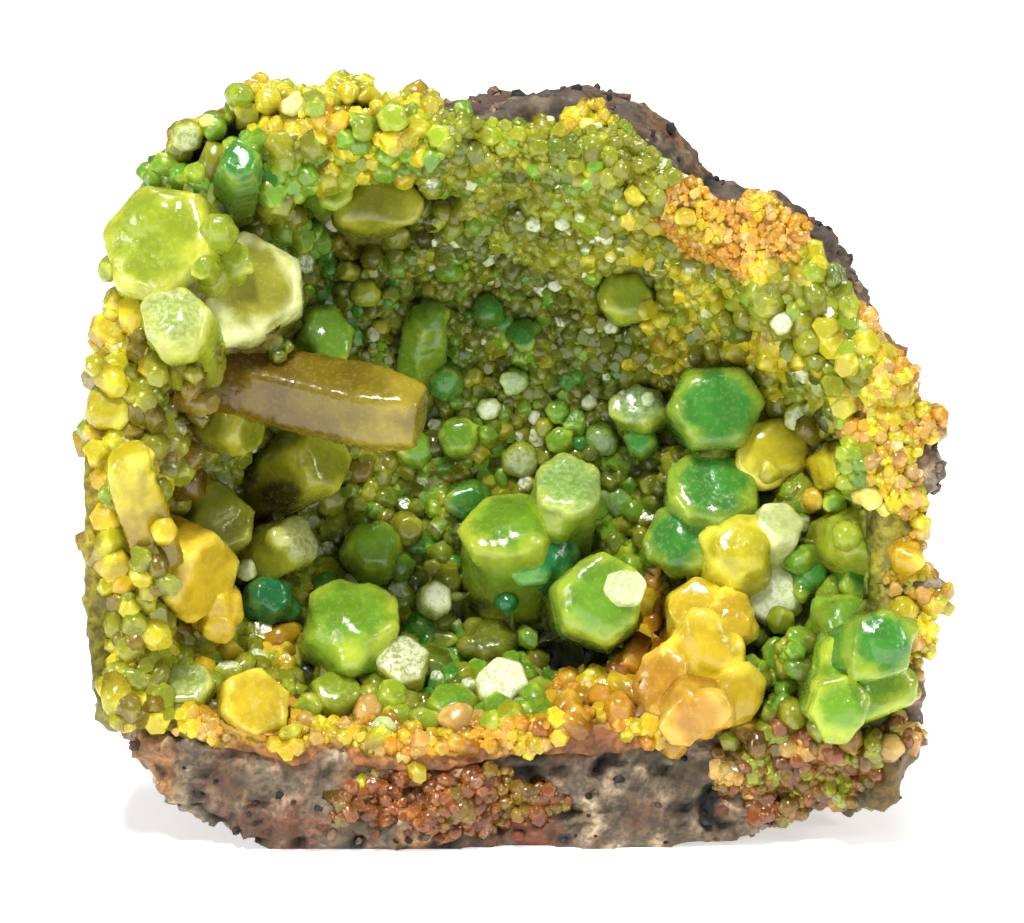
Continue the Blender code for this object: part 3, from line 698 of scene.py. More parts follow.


# Large crystals: habit, place of the cap's middle in the frame, radius, length, lift off the rock,
# the way it points as right, up and towards the eye, turn, finish, painted glint on the cap, smaller
# companions
large = {
    "seed": 5,
    "backing": 3.0,
    # Near black painted shade for the crystal parts down in the gaps
    "shade": tone(22, 24, 12),
    "growth": {
        "detail": 0.133, "rounds": 1, "plates": 0.6, "lumps": 0.075, "flatLumps": 0.045,
        "lumpSize": 1.5, "step": 0.85, "stepDepth": 0.07,
    },
    "lesserGrowth": {
        "detail": 0.22, "rounds": 1, "plates": 0.4, "lumps": 0.08, "flatLumps": 0.05,
        "lumpSize": 1.2, "step": 0.8, "stepDepth": 0.05,
    },
    "rows": (
        ("tablet", 152, 236, 4.8, 5.0, 4.8, (-0.36, 0.26, 0.88), 54, "lime", 0.0, 3),
        ("tablet", 252, 282, 4.6, 9.5, 12.6, (0.16, 0.22, 0.96), 30, "oliveWithPaintedSheen", 0.0, 2),
        ("tablet", 176, 312, 3.0, 5.5, 10.4, (-0.10, 0.50, 0.86), 20, "lime", 0.25, 5),
        ("stub", 240, 157, 2.1, 6.0, 5.4, (0.10, 0.40, 0.90), 10, "deep", 0.0, 2),
        ("prism", 426, 417, 3.1, 20.0, 17.9, (0.95, -0.20, 0.24), 34, "honey", 0.0, 0),
        ("prism", 256, 427, 2.5, 10.0, 9.9, (0.86, -0.12, 0.50), 12, "olive", 0.0, 0),
        ("prism", 330, 454, 3.3, 11.0, 8.9, (0.66, 0.30, 0.70), 40, "olive", 0.0, 0),
        ("stub", 328, 332, 3.0, 8.0, 7.9, (0.25, 0.15, 0.95), 8, "leaf", 0.0, 2),
        ("barrel", 426, 310, 2.2, 7.5, 4.9, (0.10, 0.75, 0.62), 15, "leaf", 0.0, 2),
        ("ball", 376, 194, 3.4, 7.0, 5.4, (0.10, 0.05, 0.98), 0, "olive", 0.0, 5),
        ("ball", 322, 174, 2.6, 6.0, 4.9, (0.00, 0.20, 0.98), 22, "leaf", 0.0, 3),
        ("tablet", 223, 515, 3.0, 6.0, 5.6, (0.30, 0.35, 0.88), 14, "olive", 0.0, 2),
        ("barrel", 307, 538, 2.7, 8.5, 8.4, (0.72, 0.28, 0.62), 0, "olive", 0.3, 2),
        ("prism", 210, 581, 4.1, 12.0, 9.9, (0.74, -0.32, 0.58), 18, "gold", 0.0, 0),
        ("stub", 225, 613, 2.4, 6.0, 8.4, (0.45, -0.25, 0.85), 40, "gold", 0.0, 2),
        ("stub", 124, 452, 2.3, 7.0, 4.1, (-0.26, 0.86, 0.40), 30, "yellow", 0.0, 6),
        ("barrel", 272, 592, 2.2, 6.0, 5.9, (0.20, 0.30, 0.92), 30, "teal", 0.0, 2),
        ("barrel", 376, 541, 2.7, 7.0, 6.9, (0.10, 0.35, 0.92), 5, "leaf", 0.0, 2),
        ("barrel", 350, 613, 4.2, 10.0, 8.9, (0.10, 0.62, 0.76), 12, "leaf", 0.0, 8),
        ("prism", 401, 653, 2.4, 8.5, 7.9, (0.02, 0.62, 0.78), 16, "olive", 0.7, 0),
        ("prism", 501, 676, 2.2, 7.5, 7.4, (0.05, 0.55, 0.83), 45, "pale", 1.0, 0),
        ("barrel", 492, 632, 2.4, 7.0, 5.2, (0.00, 0.60, 0.80), 10, "moss", 0.0, 2),
        ("stub", 438, 594, 1.6, 7.5, 6.9, (0.15, 0.20, 0.96), 26, "pale", 1.0, 0),
        ("tablet", 510, 518, 3.9, 10.0, 9.9, (0.05, 0.68, 0.72), 6, "leaf", 0.0, 7),
        ("tablet", 568, 480, 3.4, 10.0, 9.9, (0.12, 0.60, 0.80), 24, "leaf", 0.2, 5),
        ("barrel", 548, 548, 3.0, 8.0, 9.4, (0.00, 0.30, 0.95), 12, "teal", 0.0, 2),
        ("tablet", 600, 598, 3.9, 9.0, 12.9, (0.10, 0.16, 0.98), 38, "leaf", 0.0, 8),
        ("stub", 624, 582, 2.1, 5.5, 13.5, (0.20, 0.45, 0.86), 12, "pale", 0.6, 2),
        ("tablet", 718, 404, 3.9, 9.0, 8.4, (0.02, 0.12, 0.99), 2, "deep", 0.0, 3),
        ("tablet", 712, 480, 3.9, 9.0, 8.7, (0.02, 0.55, 0.84), 30, "deep", 0.0, 3),
        ("prism", 677, 537, 3.0, 10.0, 9.9, (-0.26, 0.22, 0.94), 8, "deep", 0.0, 2),
        ("stub", 744, 549, 3.4, 9.0, 10.9, (0.10, 0.40, 0.90), 20, "yellow", 0.0, 2),
        ("prism", 782, 519, 2.3, 7.5, 8.4, (0.20, 0.55, 0.80), 0, "pale", 0.3, 0),
        ("prism", 774, 594, 2.6, 8.0, 8.4, (0.08, 0.15, 0.98), 30, "pale", 0.8, 0),
        ("stub", 776, 446, 3.1, 6.0, 5.9, (0.10, 0.10, 0.98), 14, "yellow", 0.0, 2),
        ("stub", 641, 401, 2.3, 6.0, 4.9, (0.00, 0.35, 0.92), 40, "leaf", 0.3, 2),
        ("stub", 630, 293, 2.4, 6.0, 4.4, (0.10, 0.10, 0.98), 0, "lime", 0.0, 2),
        ("stub", 695, 603, 2.9, 8.0, 12.4, (-0.10, 0.30, 0.94), 36, "gold", 0.0, 8),
        ("stub", 734, 615, 2.6, 8.0, 11.9, (0.30, 0.20, 0.92), 10, "gold", 0.0, 7),
        ("stub", 704, 651, 3.2, 8.0, 12.0, (0.00, 0.05, 1.00), 22, "gold", 0.0, 8),
        ("stub", 740, 700, 2.8, 7.0, 8.9, (0.35, -0.10, 0.92), 40, "gold", 0.0, 7),
        ("stub", 655, 683, 2.9, 7.0, 9.4, (-0.30, 0.10, 0.94), 12, "amber", 0.0, 7),
        ("stub", 697, 716, 2.8, 6.0, 6.9, (0.05, -0.20, 0.97), 50, "amber", 0.0, 7),
        ("ball", 784, 655, 2.2, 6.0, 6.9, (0.10, 0.10, 0.99), 0, "leaf", 0.0, 2),
        ("ball", 816, 571, 2.2, 6.0, 5.9, (0.20, 0.10, 0.97), 30, "deep", 0.0, 2),
        ("ball", 867, 576, 2.2, 5.5, 4.5, (0.30, 0.10, 0.94), 12, "deep", 0.0, 2),
        ("ball", 850, 459, 2.1, 5.5, 4.9, (0.25, 0.10, 0.96), 44, "yellow", 0.0, 2),
        ("stub", 873, 536, 3.0, 6.0, 4.5, (0.35, 0.10, 0.93), 22, "lime", 0.0, 2),
        ("tablet", 862, 676, 4.0, 10.0, 7.9, (0.18, 0.10, 0.97), 12, "leaf", 0.0, 7),
        ("tablet", 884, 640, 3.0, 9.0, 7.3, (0.30, 0.22, 0.93), 12, "deep", 0.0, 4),
        ("tablet", 842, 706, 2.6, 8.0, 7.0, (0.10, -0.05, 0.99), 12, "leaf", 0.0, 3),
        ("stub", 857, 619, 3.4, 8.0, 7.5, (0.20, 0.35, 0.91), 38, "leaf", 0.0, 3),
        ("prism", 258, 702, 3.1, 6.0, 6.4, (0.30, 0.30, 0.90), 15, "gold", 0.0, 0),
        ("prism", 187, 682, 2.2, 5.5, 5.9, (0.00, 0.55, 0.83), 0, "lime", 0.2, 0),
        ("stub", 336, 686, 2.2, 6.0, 5.4, (0.10, 0.60, 0.80), 34, "lime", 0.0, 2),
        ("stub", 452, 696, 2.1, 6.0, 5.5, (0.00, 0.60, 0.80), 10, "leaf", 0.0, 2),
        ("ball", 219, 226, 1.6, 3.0, 12.6, (0.10, 0.20, 0.97), 0, "lime", 0.0, 1),
        ("ball", 234, 258, 1.7, 3.0, 12.8, (0.10, 0.20, 0.97), 0, "lime", 0.0, 2),
        ("ball", 205, 262, 1.3, 3.0, 12.4, (0.00, 0.20, 0.97), 0, "lime", 0.0, 1),
    ),
    "lesserRise": 0.75,
    # Lesser crystals: place in the frame, radius in pixels, habit, finish, and painted glint on the cap if it
    # has any
    "lesser": (
        (215, 129, 13, "barrel", "leaf"), (188, 136, 17, "stub", "lime", 0.5),
        (196, 150, 18, "ball", "moss"), (238, 122, 17, "ball", "olive"), (226, 134, 15, "ball", "moss"),
        (248, 118, 15, "ball", "olive"), (336, 118, 15, "ball", "olive"),
        (178, 152, 16, "ball", "olive"), (208, 142, 16, "ball", "olive"), (242, 96, 15, "ball", "lime"),
        (268, 102, 15, "stub", "yellow"), (293, 106, 13, "stub", "cream", 0.5),
        (315, 106, 12, "stub", "lime"), (347, 92, 13, "stub", "yellow"),
        (368, 96, 13, "stub", "yellow"), (362, 127, 14, "ball", "lime"), (393, 117, 17, "stub", "lime"),
        (395, 236, 18, "ball", "olive"), (346, 270, 12, "stub", "olive"),
        (454, 226, 14, "ball", "olive"), (449, 268, 17, "ball", "leaf"), (366, 293, 17, "stub", "lime"),
        (380, 328, 13, "stub", "yellow"), (489, 309, 18, "ball", "deep"),
        (523, 334, 18, "ball", "deep"), (445, 382, 21, "ball", "deep"), (449, 410, 14, "ball", "deep"),
        (516, 382, 15, "stub", "leaf", 0.4), (489, 408, 13, "stub", "pale", 1.0),
        (536, 416, 10, "stub", "pale", 1.0), (557, 412, 13, "stub", "leaf"),
        (516, 420, 11, "stub", "olive"), (459, 437, 23, "stub", "leaf"), (415, 449, 20, "stub", "leaf"),
        (493, 443, 18, "ball", "leaf"), (520, 460, 22, "stub", "lime", 0.4),
        (468, 500, 25, "ball", "deep"), (646, 308, 14, "stub", "yellow"),
        (634, 195, 12, "ball", "yellow"), (655, 225, 14, "ball", "yellow"),
        (685, 216, 12, "ball", "gold"), (747, 317, 17, "ball", "olive"),
        (782, 322, 14, "stub", "pale", 1.0), (811, 342, 16, "ball", "olive"),
        (768, 473, 17, "stub", "yellow"), (800, 416, 18, "stub", "lime", 0.7),
        (837, 502, 13, "ball", "leaf"), (812, 498, 17, "ball", "gold"), (846, 537, 18, "ball", "lime"),
        (867, 493, 16, "ball", "cream"), (785, 690, 15, "ball", "leaf"),
        (794, 714, 17, "ball", "olive"), (95, 365, 13, "stub", "yellow"),
        (106, 406, 24, "stub", "yellow"), (108, 270, 15, "ball", "lime"),
        (106, 310, 15, "ball", "gold"), (154, 445, 18, "ball", "olive"),
        (403, 529, 20, "stub", "olive"), (401, 567, 17, "ball", "leaf"),
        (434, 569, 13, "stub", "olive"), (355, 584, 15, "stub", "pale", 0.5),
        (503, 713, 22, "ball", "leaf"), (506, 602, 14, "ball", "teal"), (214, 686, 15, "stub", "lime"),
        (310, 707, 17, "stub", "lime"), (369, 709, 17, "stub", "tan"),
        (384, 728, 15, "stub", "pale", 0.3), (424, 722, 17, "stub", "lime"),
        (458, 721, 19, "stub", "tan"), (247, 569, 13, "stub", "pale", 0.4),
        (556, 282, 10, "stub", "pale", 1.0), (562, 222, 9, "stub", "pale", 1.0),
        (487, 259, 9, "stub", "pale", 0.8), (456, 240, 9, "stub", "pale", 0.8),
        (470, 182, 9, "stub", "pale", 0.7), (607, 237, 9, "stub", "pale", 0.8),
        (611, 326, 9, "stub", "pale", 1.0), (589, 326, 9, "stub", "pale", 0.6),
        (335, 221, 11, "stub", "pale", 0.8), (472, 468, 9, "stub", "pale", 0.6),
        (589, 401, 10, "stub", "pale", 1.0), (623, 398, 10, "stub", "pale", 1.0),
        (648, 399, 9, "stub", "pale", 0.8), (560, 440, 16, "stub", "leaf"),
        (600, 440, 22, "stub", "leaf", 0.3), (640, 440, 20, "stub", "deep"),
        (620, 500, 18, "stub", "leaf", 0.2), (650, 480, 16, "ball", "olive"),
        (165, 530, 15, "stub", "gold"), (330, 500, 18, "stub", "olive"),
        (360, 470, 16, "stub", "honey"), (470, 640, 20, "ball", "leaf"), (440, 640, 16, "stub", "lime"),
        (800, 560, 20, "ball", "leaf"), (835, 590, 20, "ball", "lime"), (905, 560, 18, "ball", "gold"),
        (905, 610, 17, "ball", "yellow"), (780, 620, 17, "ball", "lime"),
        (820, 725, 16, "ball", "olive"), (800, 610, 15, "ball", "deep"), (890, 745, 16, "ball", "tan"),
        (850, 740, 15, "ball", "brown"), (540, 690, 16, "stub", "lime"),
        (560, 700, 12, "stub", "pale", 0.5),
    ),
}


def reachBack(tip, axis, length):
    hit = rockTree.ray_cast(tip, -axis)[0]
    if hit is None:
        return length
    deep = (hit - tip).length / mm + 0.6
    return min(max(deep, length * 0.6), length + large["backing"])


def seated(px, py):
    # The place on the crust behind a pixel, or the nearest crust where the sight line passes it by
    hit, normal, sight = sighted(px, py, crustCad)
    near = crustCad.find_nearest(hit)
    return near[0], (normal if (near[0] - hit).length < 0.1 * mm else -sight), sight


def paintGapShade(bm, matrix):
    # Painted shade: the parts of a crystal that reach down into a gap are darkened towards near black, as if
    # they lose their light
    layers = layersOf(bm)
    for vertex in bm.verts:
        depth = 0.85 * inGap(matrix @ vertex.co) * smooth(-vertex[layers["Local"]].z, -0.95, -0.75)
        if depth > 0.0:
            for name in ("Core", "Rim", "Root"):
                vertex[layers[name]] = blend(vertex[layers[name]], large["shade"], depth)


def makeLarge():
    chance = random.Random(large["seed"])
    whole = bmesh.new()
    layersOf(whole)
    stems = []
    for habit, px, py, radius, length, lift, way, turn, tint, paintedGlint, buds in large["rows"]:
        hit, normal, sight = sighted(px, py, rockTree)
        axis = pointing(way)
        tip = hit - sight * lift * mm
        deep = reachBack(tip, axis, length)
        stems.append((tip, tip - axis * deep * mm, radius * (1.08 + 0.012 * buds), tint))
        bm = grownCrystal(habit, radius, deep, chance, buds, large["growth"])
        paint(bm, tint, paintedGlint, chance, 0.04)
        place = standing(tip, axis, deep, turn)
        paintGapShade(bm, place)
        addInto(whole, bm, place)
    lesser = bmesh.new()
    layersOf(lesser)
    for px, py, size, habit, tint, *rest in large["lesser"]:
        paintedGlint = rest[0] if rest else 0.0
        hit, normal, sight = seated(px, py)
        radius = size * view["pixel"]
        axis = (normal * 0.8 - sight + Vector(chance.uniform(-0.35, 0.35) for _ in range(3))).normalized()
        tip = hit + axis * radius * large["lesserRise"] * mm
        deep = 1.5 + 1.6 * radius
        bm = grownCrystal(habit, radius, deep, chance, 0 if paintedGlint > 0.5 else 2, large["lesserGrowth"])
        paint(bm, tint, paintedGlint, chance, 0.08)
        place = standing(tip, axis, deep, chance.uniform(0.0, 60.0))
        paintGapShade(bm, place)
        addInto(lesser, bm, place)
    trees = BVHTree.FromBMesh(whole), BVHTree.FromBMesh(lesser)
    finishedPiece(whole, "largeCrystals", crystalFinish, "mimetite")
    finishedPiece(lesser, "lesserCrystals", crystalFinish, "mimetite")
    return trees, stems


largeTrees, largeStems = makeLarge()
print("large crystals made")

# The druse: zones in the frame as middle, half width and half height, crystal radii in
# millimetres, and the finishes with their shares
druse = {
    "seed": 17,
    "tries": 110000,
    "topX": (405, 440, 480, 520, 560, 590, 620, 650, 700, 740, 780, 830, 850),
    "topY": (118, 122, 124, 134, 118, 102, 118, 152, 192, 236, 282, 352, 390),
    "ledgeX": (120, 156, 214, 252, 281, 336, 400, 470, 530, 560, 590, 640, 664, 700, 727, 760, 800, 867, 900),
    "ledgeY": (735, 728, 745, 734, 758, 742, 762, 752, 756, 742, 718, 745, 760, 795, 822, 824, 818, 788, 745),
    "leftY": (85, 115, 130, 160, 176, 218, 255, 300, 355, 380, 430, 470, 500, 540, 600, 650, 686, 712, 740),
    "leftX": (241, 215, 180, 165, 136, 105, 100, 95, 92, 84, 82, 85, 97, 88, 97, 103, 92, 105, 124),
    "closeness": 0.41,
    "bold": 1800,
    "cell": 1.6,
    # Patches of beads on the rock: middle, half width and half height in the frame
    "beads": ((450.0, 802.0, 115.0, 30.0), (797.0, 768.0, 76.0, 56.0)),
    "zones": (
        ((285, 108), (80, 30), (0.45, 1.0), {"yellow": 5, "gold": 2, "cream": 1, "lime": 1}, 1),
        ((385, 130), (50, 45), (0.55, 1.15), {"lime": 3, "yellow": 3, "leaf": 1}, 1.0),
        ((265, 180), (65, 50), (0.6, 1.4), {"olive": 3, "leaf": 3, "lime": 1, "deep": 1}, 1.0),
        ((530, 190), (130, 80), (0.4, 1.0), {"lime": 1, "olive": 7, "leaf": 1, "moss": 4}, 1.0),
        ((520, 330), (120, 80), (0.4, 0.95), {"olive": 4, "leaf": 1, "moss": 6, "deep": 1}, 1.0),
        ((660, 290), (70, 90), (0.45, 1.05), {"lime": 2, "yellow": 4, "olive": 5, "moss": 1}, 1.0),
        ((705, 215), (60, 60), (0.28, 0.6), {"gold": 3, "tan": 2, "amber": 5}, 0.9),
        ((800, 370), (70, 75), (0.7, 1.3), {"olive": 5, "yellow": 2, "lime": 2, "moss": 2, "pale": 1}, 1.0),
        ((900, 460), (48, 150), (0.35, 0.85),
         {"cream": 2, "gold": 4, "yellow": 3, "tan": 3, "amber": 2}, 0.9),
        ((840, 520), (60, 110), (0.7, 1.4), {"leaf": 4, "lime": 4, "yellow": 2}, 1.0),
        ((795, 770), (75, 60), (0.45, 0.95), {"tan": 1, "rust": 5, "brown": 4, "olive": 4}, 1.0),
        ((790, 670), (60, 60), (0.6, 1.2), {"olive": 5, "leaf": 3, "moss": 2}, 1.0),
        ((705, 785), (40, 40), (0.35, 0.7), {"tan": 6, "brown": 2, "rust": 2}, 1.0),
        ((140, 650), (60, 70), (0.7, 1.4), {"olive": 5, "yellow": 3, "honey": 2}, 0.7),
        ((105, 440), (35, 170), (0.9, 1.7), {"yellow": 6, "gold": 3, "lime": 1}, 0.6),
        ((165, 400), (50, 90), (0.7, 1.3), {"honey": 4, "olive": 4, "gold": 1}, 0.8),
        ((440, 655), (130, 70), (0.8, 1.5), {"leaf": 4, "olive": 4, "deep": 2, "lime": 2}, 1.0),
        ((370, 740), (200, 24), (0.4, 0.9), {"yellow": 2, "gold": 3, "tan": 3, "amber": 4}, 0.55),
        ((660, 690), (100, 60), (0.7, 1.5), {"amber": 5, "gold": 5, "yellow": 2}, 0.5),
        ((470, 470), (90, 80), (0.6, 1.2), {"olive": 4, "leaf": 3, "moss": 3, "deep": 1}, 1.0),
        ((570, 650), (60, 35), (0.5, 0.9), {"moss": 6, "deep": 1}, 1.0),
        ((290, 490), (60, 40), (0.6, 1.1), {"moss": 6, "olive": 1}, 1.0),
        ((590, 108), (40, 26), (0.4, 0.9), {"cream": 1, "yellow": 4, "gold": 4, "olive": 2}, 0.9),
        ((450, 800), (120, 28), (0.4, 0.85), {"rust": 6, "brown": 2}, 0.45),
        ((240, 640), (70, 50), (0.7, 1.3), {"olive": 4, "lime": 2, "gold": 2}, 1.0),
    ),
}


def zoneAt(place):
    px, py = pixelOf(place)
    spot = place / mm
    px += 22.0 * noise.noise(spot / 5.0)
    py += 22.0 * noise.noise(spot / 5.0 + Vector((9.0, 4.0, 2.0)))
    best = None
    nearest = 1e9
    for zone in druse["zones"]:
        (midX, midY), (halfWide, halfHigh) = zone[:2]
        distance = ((px - midX) / halfWide) ** 2 + ((py - midY) / halfHigh) ** 2
        if distance < nearest:
            nearest = distance
            best = zone
    return best


def pick(shares, place, chance):
    # Neighbours mostly share a finish: it changes slowly from place to place
    value = 0.5 + 0.85 * noise.noise(place / mm / 3.2) + chance.uniform(-0.26, 0.26)
    value = min(max(value, 0.0), 0.999) * sum(shares.values())
    for finish, share in shares.items():
        value -= share
        if value < 0.0:
            return finish


# The crust under the crystals
crust = {
    "voxel": 0.58,
    "shrink": 0.22,
    "grains": (1.5, 0.55),
    "amber": tone(168, 124, 56),
    "orange": tone(132, 84, 44),
    "darker": 0.75,
    # Near black painted into the gaps between the crystals as shade
    "gap": tone(16, 18, 9),
    "gapDepth": 1.1,
    "stemDepth": 0.7,
}


def stemAt(place):
    # The finish of the large crystal whose reach holds this place, if there is one
    for tip, base, radius, tint in largeStems:
        along = base - tip
        share = min(max((place - tip).dot(along) / along.length_squared, 0.0), 1.0)
        if (place - tip - along * share).length < radius * mm:
            return tint
    return None


def crustColor(place, normal):
    # The zone's own finishes darkened, with a broken amber edge along the foot of the pocket and painted
    # shade in the gaps
    zone = zoneAt(place)
    total = sum(zone[3].values())
    color = [0.0, 0.0, 0.0, 1.0]
    for finish, share in zone[3].items():
        core, _, root = tints[finish]
        for channel in range(3):
            both = core[channel] + root[channel]
            color[channel] += crust["darker"] * both * share / total / 2
    px, py = pixelOf(place)
    wide = noise.noise(place / mm / 2.0)
    broken = smooth(-normal.y + 0.3 * normal.z, 0.1, 0.5) * smooth(-place.y / mm, 5.0, 8.0)
    broken *= smooth(py, 690.0, 725.0) * smooth(px, 200.0, 260.0) * (1.0 - smooth(px, 700.0, 760.0))
    color = blend(color, crust["amber"], broken)
    ridge = np.interp(px, druse["ledgeX"], druse["ledgeY"])
    color = blend(color, crust["orange"], broken * smooth(py + 10.0 * wide, ridge - 6.0, ridge + 6.0))
    tint = stemAt(place)
    if tint:
        color = blend(color, tints[tint][2], 0.5)
    # Painted shade: the crust turns near black in the gaps between the crystals
    return blend(color, crust["gap"], inGap(place))


def makeCrust():
    bm = remeshed(mergedCopy("mimetite_crust"), "mimetite crust", crust["voxel"] * mm)
    soften(bm)
    bm.normal_update()
    layer = layersOf(bm)["Core"]
    size, height = crust["grains"]
    moves = []
    for vertex in bm.verts:
        relief = height * (0.4 - noise.voronoi(vertex.co / mm / size)[0][0]) - crust["shrink"]
        relief -= crust["gapDepth"] * inGap(vertex.co)
        if stemAt(vertex.co):
            relief -= crust["stemDepth"]
        vertex[layer] = crustColor(vertex.co, vertex.normal)
        moves.append(vertex.normal * relief * mm)
    for vertex, move in zip(bm.verts, moves):
        vertex.co += move
    for face in bm.faces:
        face.smooth = True
    places = facesOf(bm)
    finishedPiece(bm, "mimetiteCrust", crustFinish, "mimetite", "mimetite_crust")
    return places


crustFaces = makeCrust()
print("rock and crust made")


def onBeads(place):
    # Beads of red and brown crystals on the front of the rock
    px, py = pixelOf(place)
    wander = 0.45 * noise.noise(place / mm / 2.2)
    inside = any(
        math.hypot((px - midX) / halfWide, (py - midY) / halfHigh) + wander < 1.0
        for midX, midY, halfWide, halfHigh in druse["beads"]
    )
    return place.y < -0.006 and inside


def onRock(place, normal):
    # The crystals run up over the rock's top edge, and red ones dot the front of its foot
    px, py = pixelOf(place)
    edge = np.interp(px, druse["topX"], druse["topY"])
    distance = crustCad.find_nearest(place)[3]
    top = 405 < px < 850 and edge < py < edge + 70 and normal.dot(eyeWay) > 0.15 and distance < 7.0 * mm
    return top or (normal.dot(eyeWay) > 0.2 and onBeads(place))


def outside(place, radius):
    # Crystals stay within the specimen's own outline, and off the bare rock below the pocket
    px, py = pixelOf(place)
    inset = radius / view["pixel"]
    ridge = np.interp(px, druse["ledgeX"], druse["ledgeY"])
    if place.y < -0.006 and py > ridge - 0.5 * inset:
        return True
    if place.y > 0.002 or px > 900:
        return False
    left = np.interp(py, druse["leftY"], druse["leftX"])
    return px < left + 0.8 * inset


def smallShapes():
    # A few dozen faces each, at a radius of one millimetre
    chance = random.Random(23)
    shapes = []
    for index in range(14):
        habit = ("grain", "point", "knob", "grain")[index % 4]
        bm = facetCrystal(habit, 1.0, 1.9 + 0.25 * (index % 3), chance, 0.16, 0.0, 0, False)
        top = max(bm.faces, key=lambda face: face.calc_center_median().z)
        top.smooth = False
        mesh = bpy.data.meshes.new(f"small {index}")
        layersOf(bm)
        bm.to_mesh(mesh)
        bm.free()
        shapes.append(mesh)
    return shapes


def insideLarge(place, margin):
    for tree in largeTrees:
        near, normal, _, distance = tree.find_nearest(place)
        if (place - near).dot(normal) < 0.0 or distance < margin:
            return True
    return False


around = [(dx, dy, dz) for dx in (-1, 0, 1) for dy in (-1, 0, 1) for dz in (-1, 0, 1)]


def crowded(cells, key, place, radius):
    # Whether a kept crystal stands nearer than the two sizes allow
    for step in around:
        for other, size in cells.get((key[0] + step[0], key[1] + step[1], key[2] + step[2]), ()):
            if (other - place).length < (size + radius) * druse["closeness"] * mm:
                return True
    return False


def drusePlaces(chance):
    # Spread over the crust by area, none closer to its neighbours than their sizes allow
    weights = []
    usable = []
    for middle, normal, area in crustFaces:
        near, _, _, distance = rockTree.find_nearest(middle)
        if distance < 1.1 * mm and (middle - near).dot(normal) < 0.0:
            continue
        usable.append((middle, normal))
        weights.append(area)
    for middle, normal, area in rockFaces:
        if onRock(middle, normal):
            usable.append((middle, normal))
            weights.append(area)
    chosen = chance.choices(usable, weights=weights, k=druse["tries"])
    cells = {}
    kept = []
    for middle, normal in chosen:
        zone = zoneAt(middle)
        smallest, largest = zone[2]
        share = chance.uniform(0.45, 1.0) if len(kept) < druse["bold"] else chance.random() ** 1.6
        radius = smallest + (largest - smallest) * share
        place = middle + Vector(chance.uniform(-0.2, 0.2) * mm for _ in range(3))
        key = tuple(int(math.floor(value / mm / druse["cell"])) for value in place)
        if crowded(cells, key, place, radius) or chance.random() < inGap(place) or stemAt(place):
            continue
        if outside(place, radius) and not onBeads(place):
            continue
        if chance.random() > zone[4] or insideLarge(place, 0.25 * radius * mm):
            continue
        cells.setdefault(key, []).append((place, radius))
        kept.append((place, normal, radius, zone))
    return kept


def makeDruse():
    chance = random.Random(druse["seed"])
    shapes = smallShapes()
    batches = {"druseUpper": [], "druseLower": [], "druseRim": []}
    places = drusePlaces(chance)
    print(f"druse: {len(places)} crystals")
    for place in places:
        spot = place[0] / mm
        if spot.y < -8.0:
            batches["druseRim"].append(place)
        elif spot.z > 32.0:
            batches["druseUpper"].append(place)
        else:
            batches["druseLower"].append(place)
    for name, batch in batches.items():
        whole = bmesh.new()
        layersOf(whole)
        for place, normal, radius, zone in batch:
            copy = chance.choice(shapes).copy()
            axis = (normal + Vector(chance.gauss(0.0, 0.35) for _ in range(3))).normalized()
            reach = chance.uniform(0.9, 1.4)
            tip = place + axis * radius * chance.uniform(0.45, 1.05) * mm
            size = Matrix.Diagonal((radius, radius, radius * reach, 1.0))
            copy.transform(standing(tip, axis, 2.0 * radius * reach, chance.uniform(0, 60)) @ size)
            count = len(copy.vertices)
            tint = tints[pick(zone[3], place, chance)]
            light = 1.0 + chance.uniform(-0.16, 0.16)
            warm = chance.uniform(-0.10, 0.10)
            shift = np.array((light * (1.0 + warm), light, light * (1.0 - warm), 1.0))
            for layer, color in zip(("Core", "Rim", "Root"), tint):
                tinted = np.tile(np.array(color) * shift, count)
                copy.attributes[layer].data.foreach_set("color", tinted)
            # A few caps in the pocket get a painted glint
            paintedGlint = 1.0 if place.y > -0.010 and chance.random() < 0.05 else 0.0
            copy.attributes["PaintedGlint"].data.foreach_set("value", np.full(count, paintedGlint))
            whole.from_mesh(copy)
            bpy.data.meshes.remove(copy)
        finishedPiece(whole, name, crystalFinish, "mimetite")
    for shape in shapes:
        bpy.data.meshes.remove(shape)


makeDruse()
print("druse made")

# Floor, light and camera
studio = {
    "floor": tone(250, 250, 250),
    "floorRadius": 3.0,
    "floorGlow": 0.55,
    "sky": (1.0, 1.0, 1.0, 1.0),
    "skyStrength": 0.28,
    "lamps": (
        ("key", (-0.08, -0.34, 0.62), 0.12, 5.4),
        ("right", (0.62, -0.30, 0.32), 0.22, 1.6),
        ("left", (-0.62, -0.34, 0.22), 0.22, 1.6),
        ("above", (0.05, 0.25, 0.70), 0.25, 2.4),
    ),
}


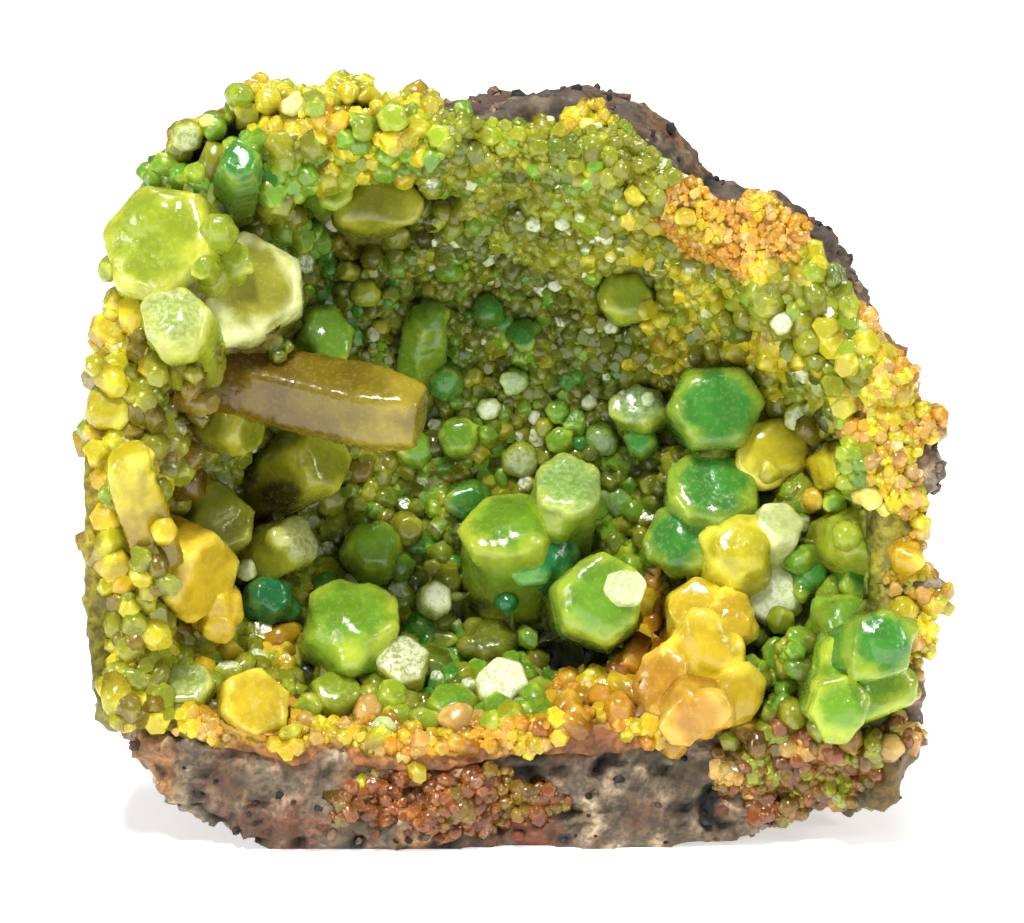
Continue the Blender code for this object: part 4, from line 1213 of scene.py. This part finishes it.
def makeStudio():
    bm = bmesh.new()
    bmesh.ops.create_circle(bm, cap_ends=True, segments=64, radius=studio["floorRadius"])
    bmesh.ops.translate(bm, verts=bm.verts, vec=(0.0, 0.0, -0.02 * mm))
    mesh = bpy.data.meshes.new("floor")
    bm.to_mesh(mesh)
    bm.free()
    floor = bpy.data.objects.new("floor", mesh)
    bpy.context.scene.collection.objects.link(floor)
    paintwork = bpy.data.materials.new("floor")
    paintwork.use_nodes = True
    shader = paintwork.node_tree.nodes["Principled BSDF"]
    shader.inputs["Base Color"].default_value = studio["floor"]
    shader.inputs["Roughness"].default_value = 0.6
    shader.inputs["Emission Color"].default_value = studio["sky"]
    shader.inputs["Emission Strength"].default_value = studio["floorGlow"]
    mesh.materials.append(paintwork)
    world = bpy.data.worlds.new("studio")
    bpy.context.scene.world = world
    world.use_nodes = True
    tree = world.node_tree
    sky = tree.nodes["Background"]
    sky.inputs["Color"].default_value = studio["sky"]
    path = addNode(tree, "ShaderNodeLightPath")
    strength = rangeNode(tree, path.outputs["Is Camera Ray"], 0.0, 1.0, studio["skyStrength"], 1.0)
    tree.links.new(strength, sky.inputs["Strength"])
    for name, place, size, power in studio["lamps"]:
        lamp = bpy.data.lights.new(name, "AREA")
        lamp.shape = "DISK"
        lamp.size = size
        lamp.energy = power
        item = bpy.data.objects.new(name, lamp)
        item.location = place
        aim = Vector((0.0, -0.005, 0.028)) - item.location
        item.rotation_euler = aim.to_track_quat("-Z", "Y").to_euler()
        bpy.context.scene.collection.objects.link(item)


def makeCamera():
    lens = bpy.data.cameras.new("camera")
    lens.sensor_fit = "HORIZONTAL"
    lens.sensor_width = 36.0
    lens.lens = lens.sensor_width * view["distance"] / view["frameWidth"]
    lens.clip_start = 0.01
    camera = bpy.data.objects.new("camera", lens)
    camera.location = eye
    camera.rotation_euler = (-eyeWay).to_track_quat("-Z", "Y").to_euler()
    bpy.context.scene.collection.objects.link(camera)
    bpy.context.scene.camera = camera


makeStudio()
makeCamera()
bpy.context.scene.view_settings.view_transform = "Standard"
print("studio made")

bpy.context.view_layer.update()
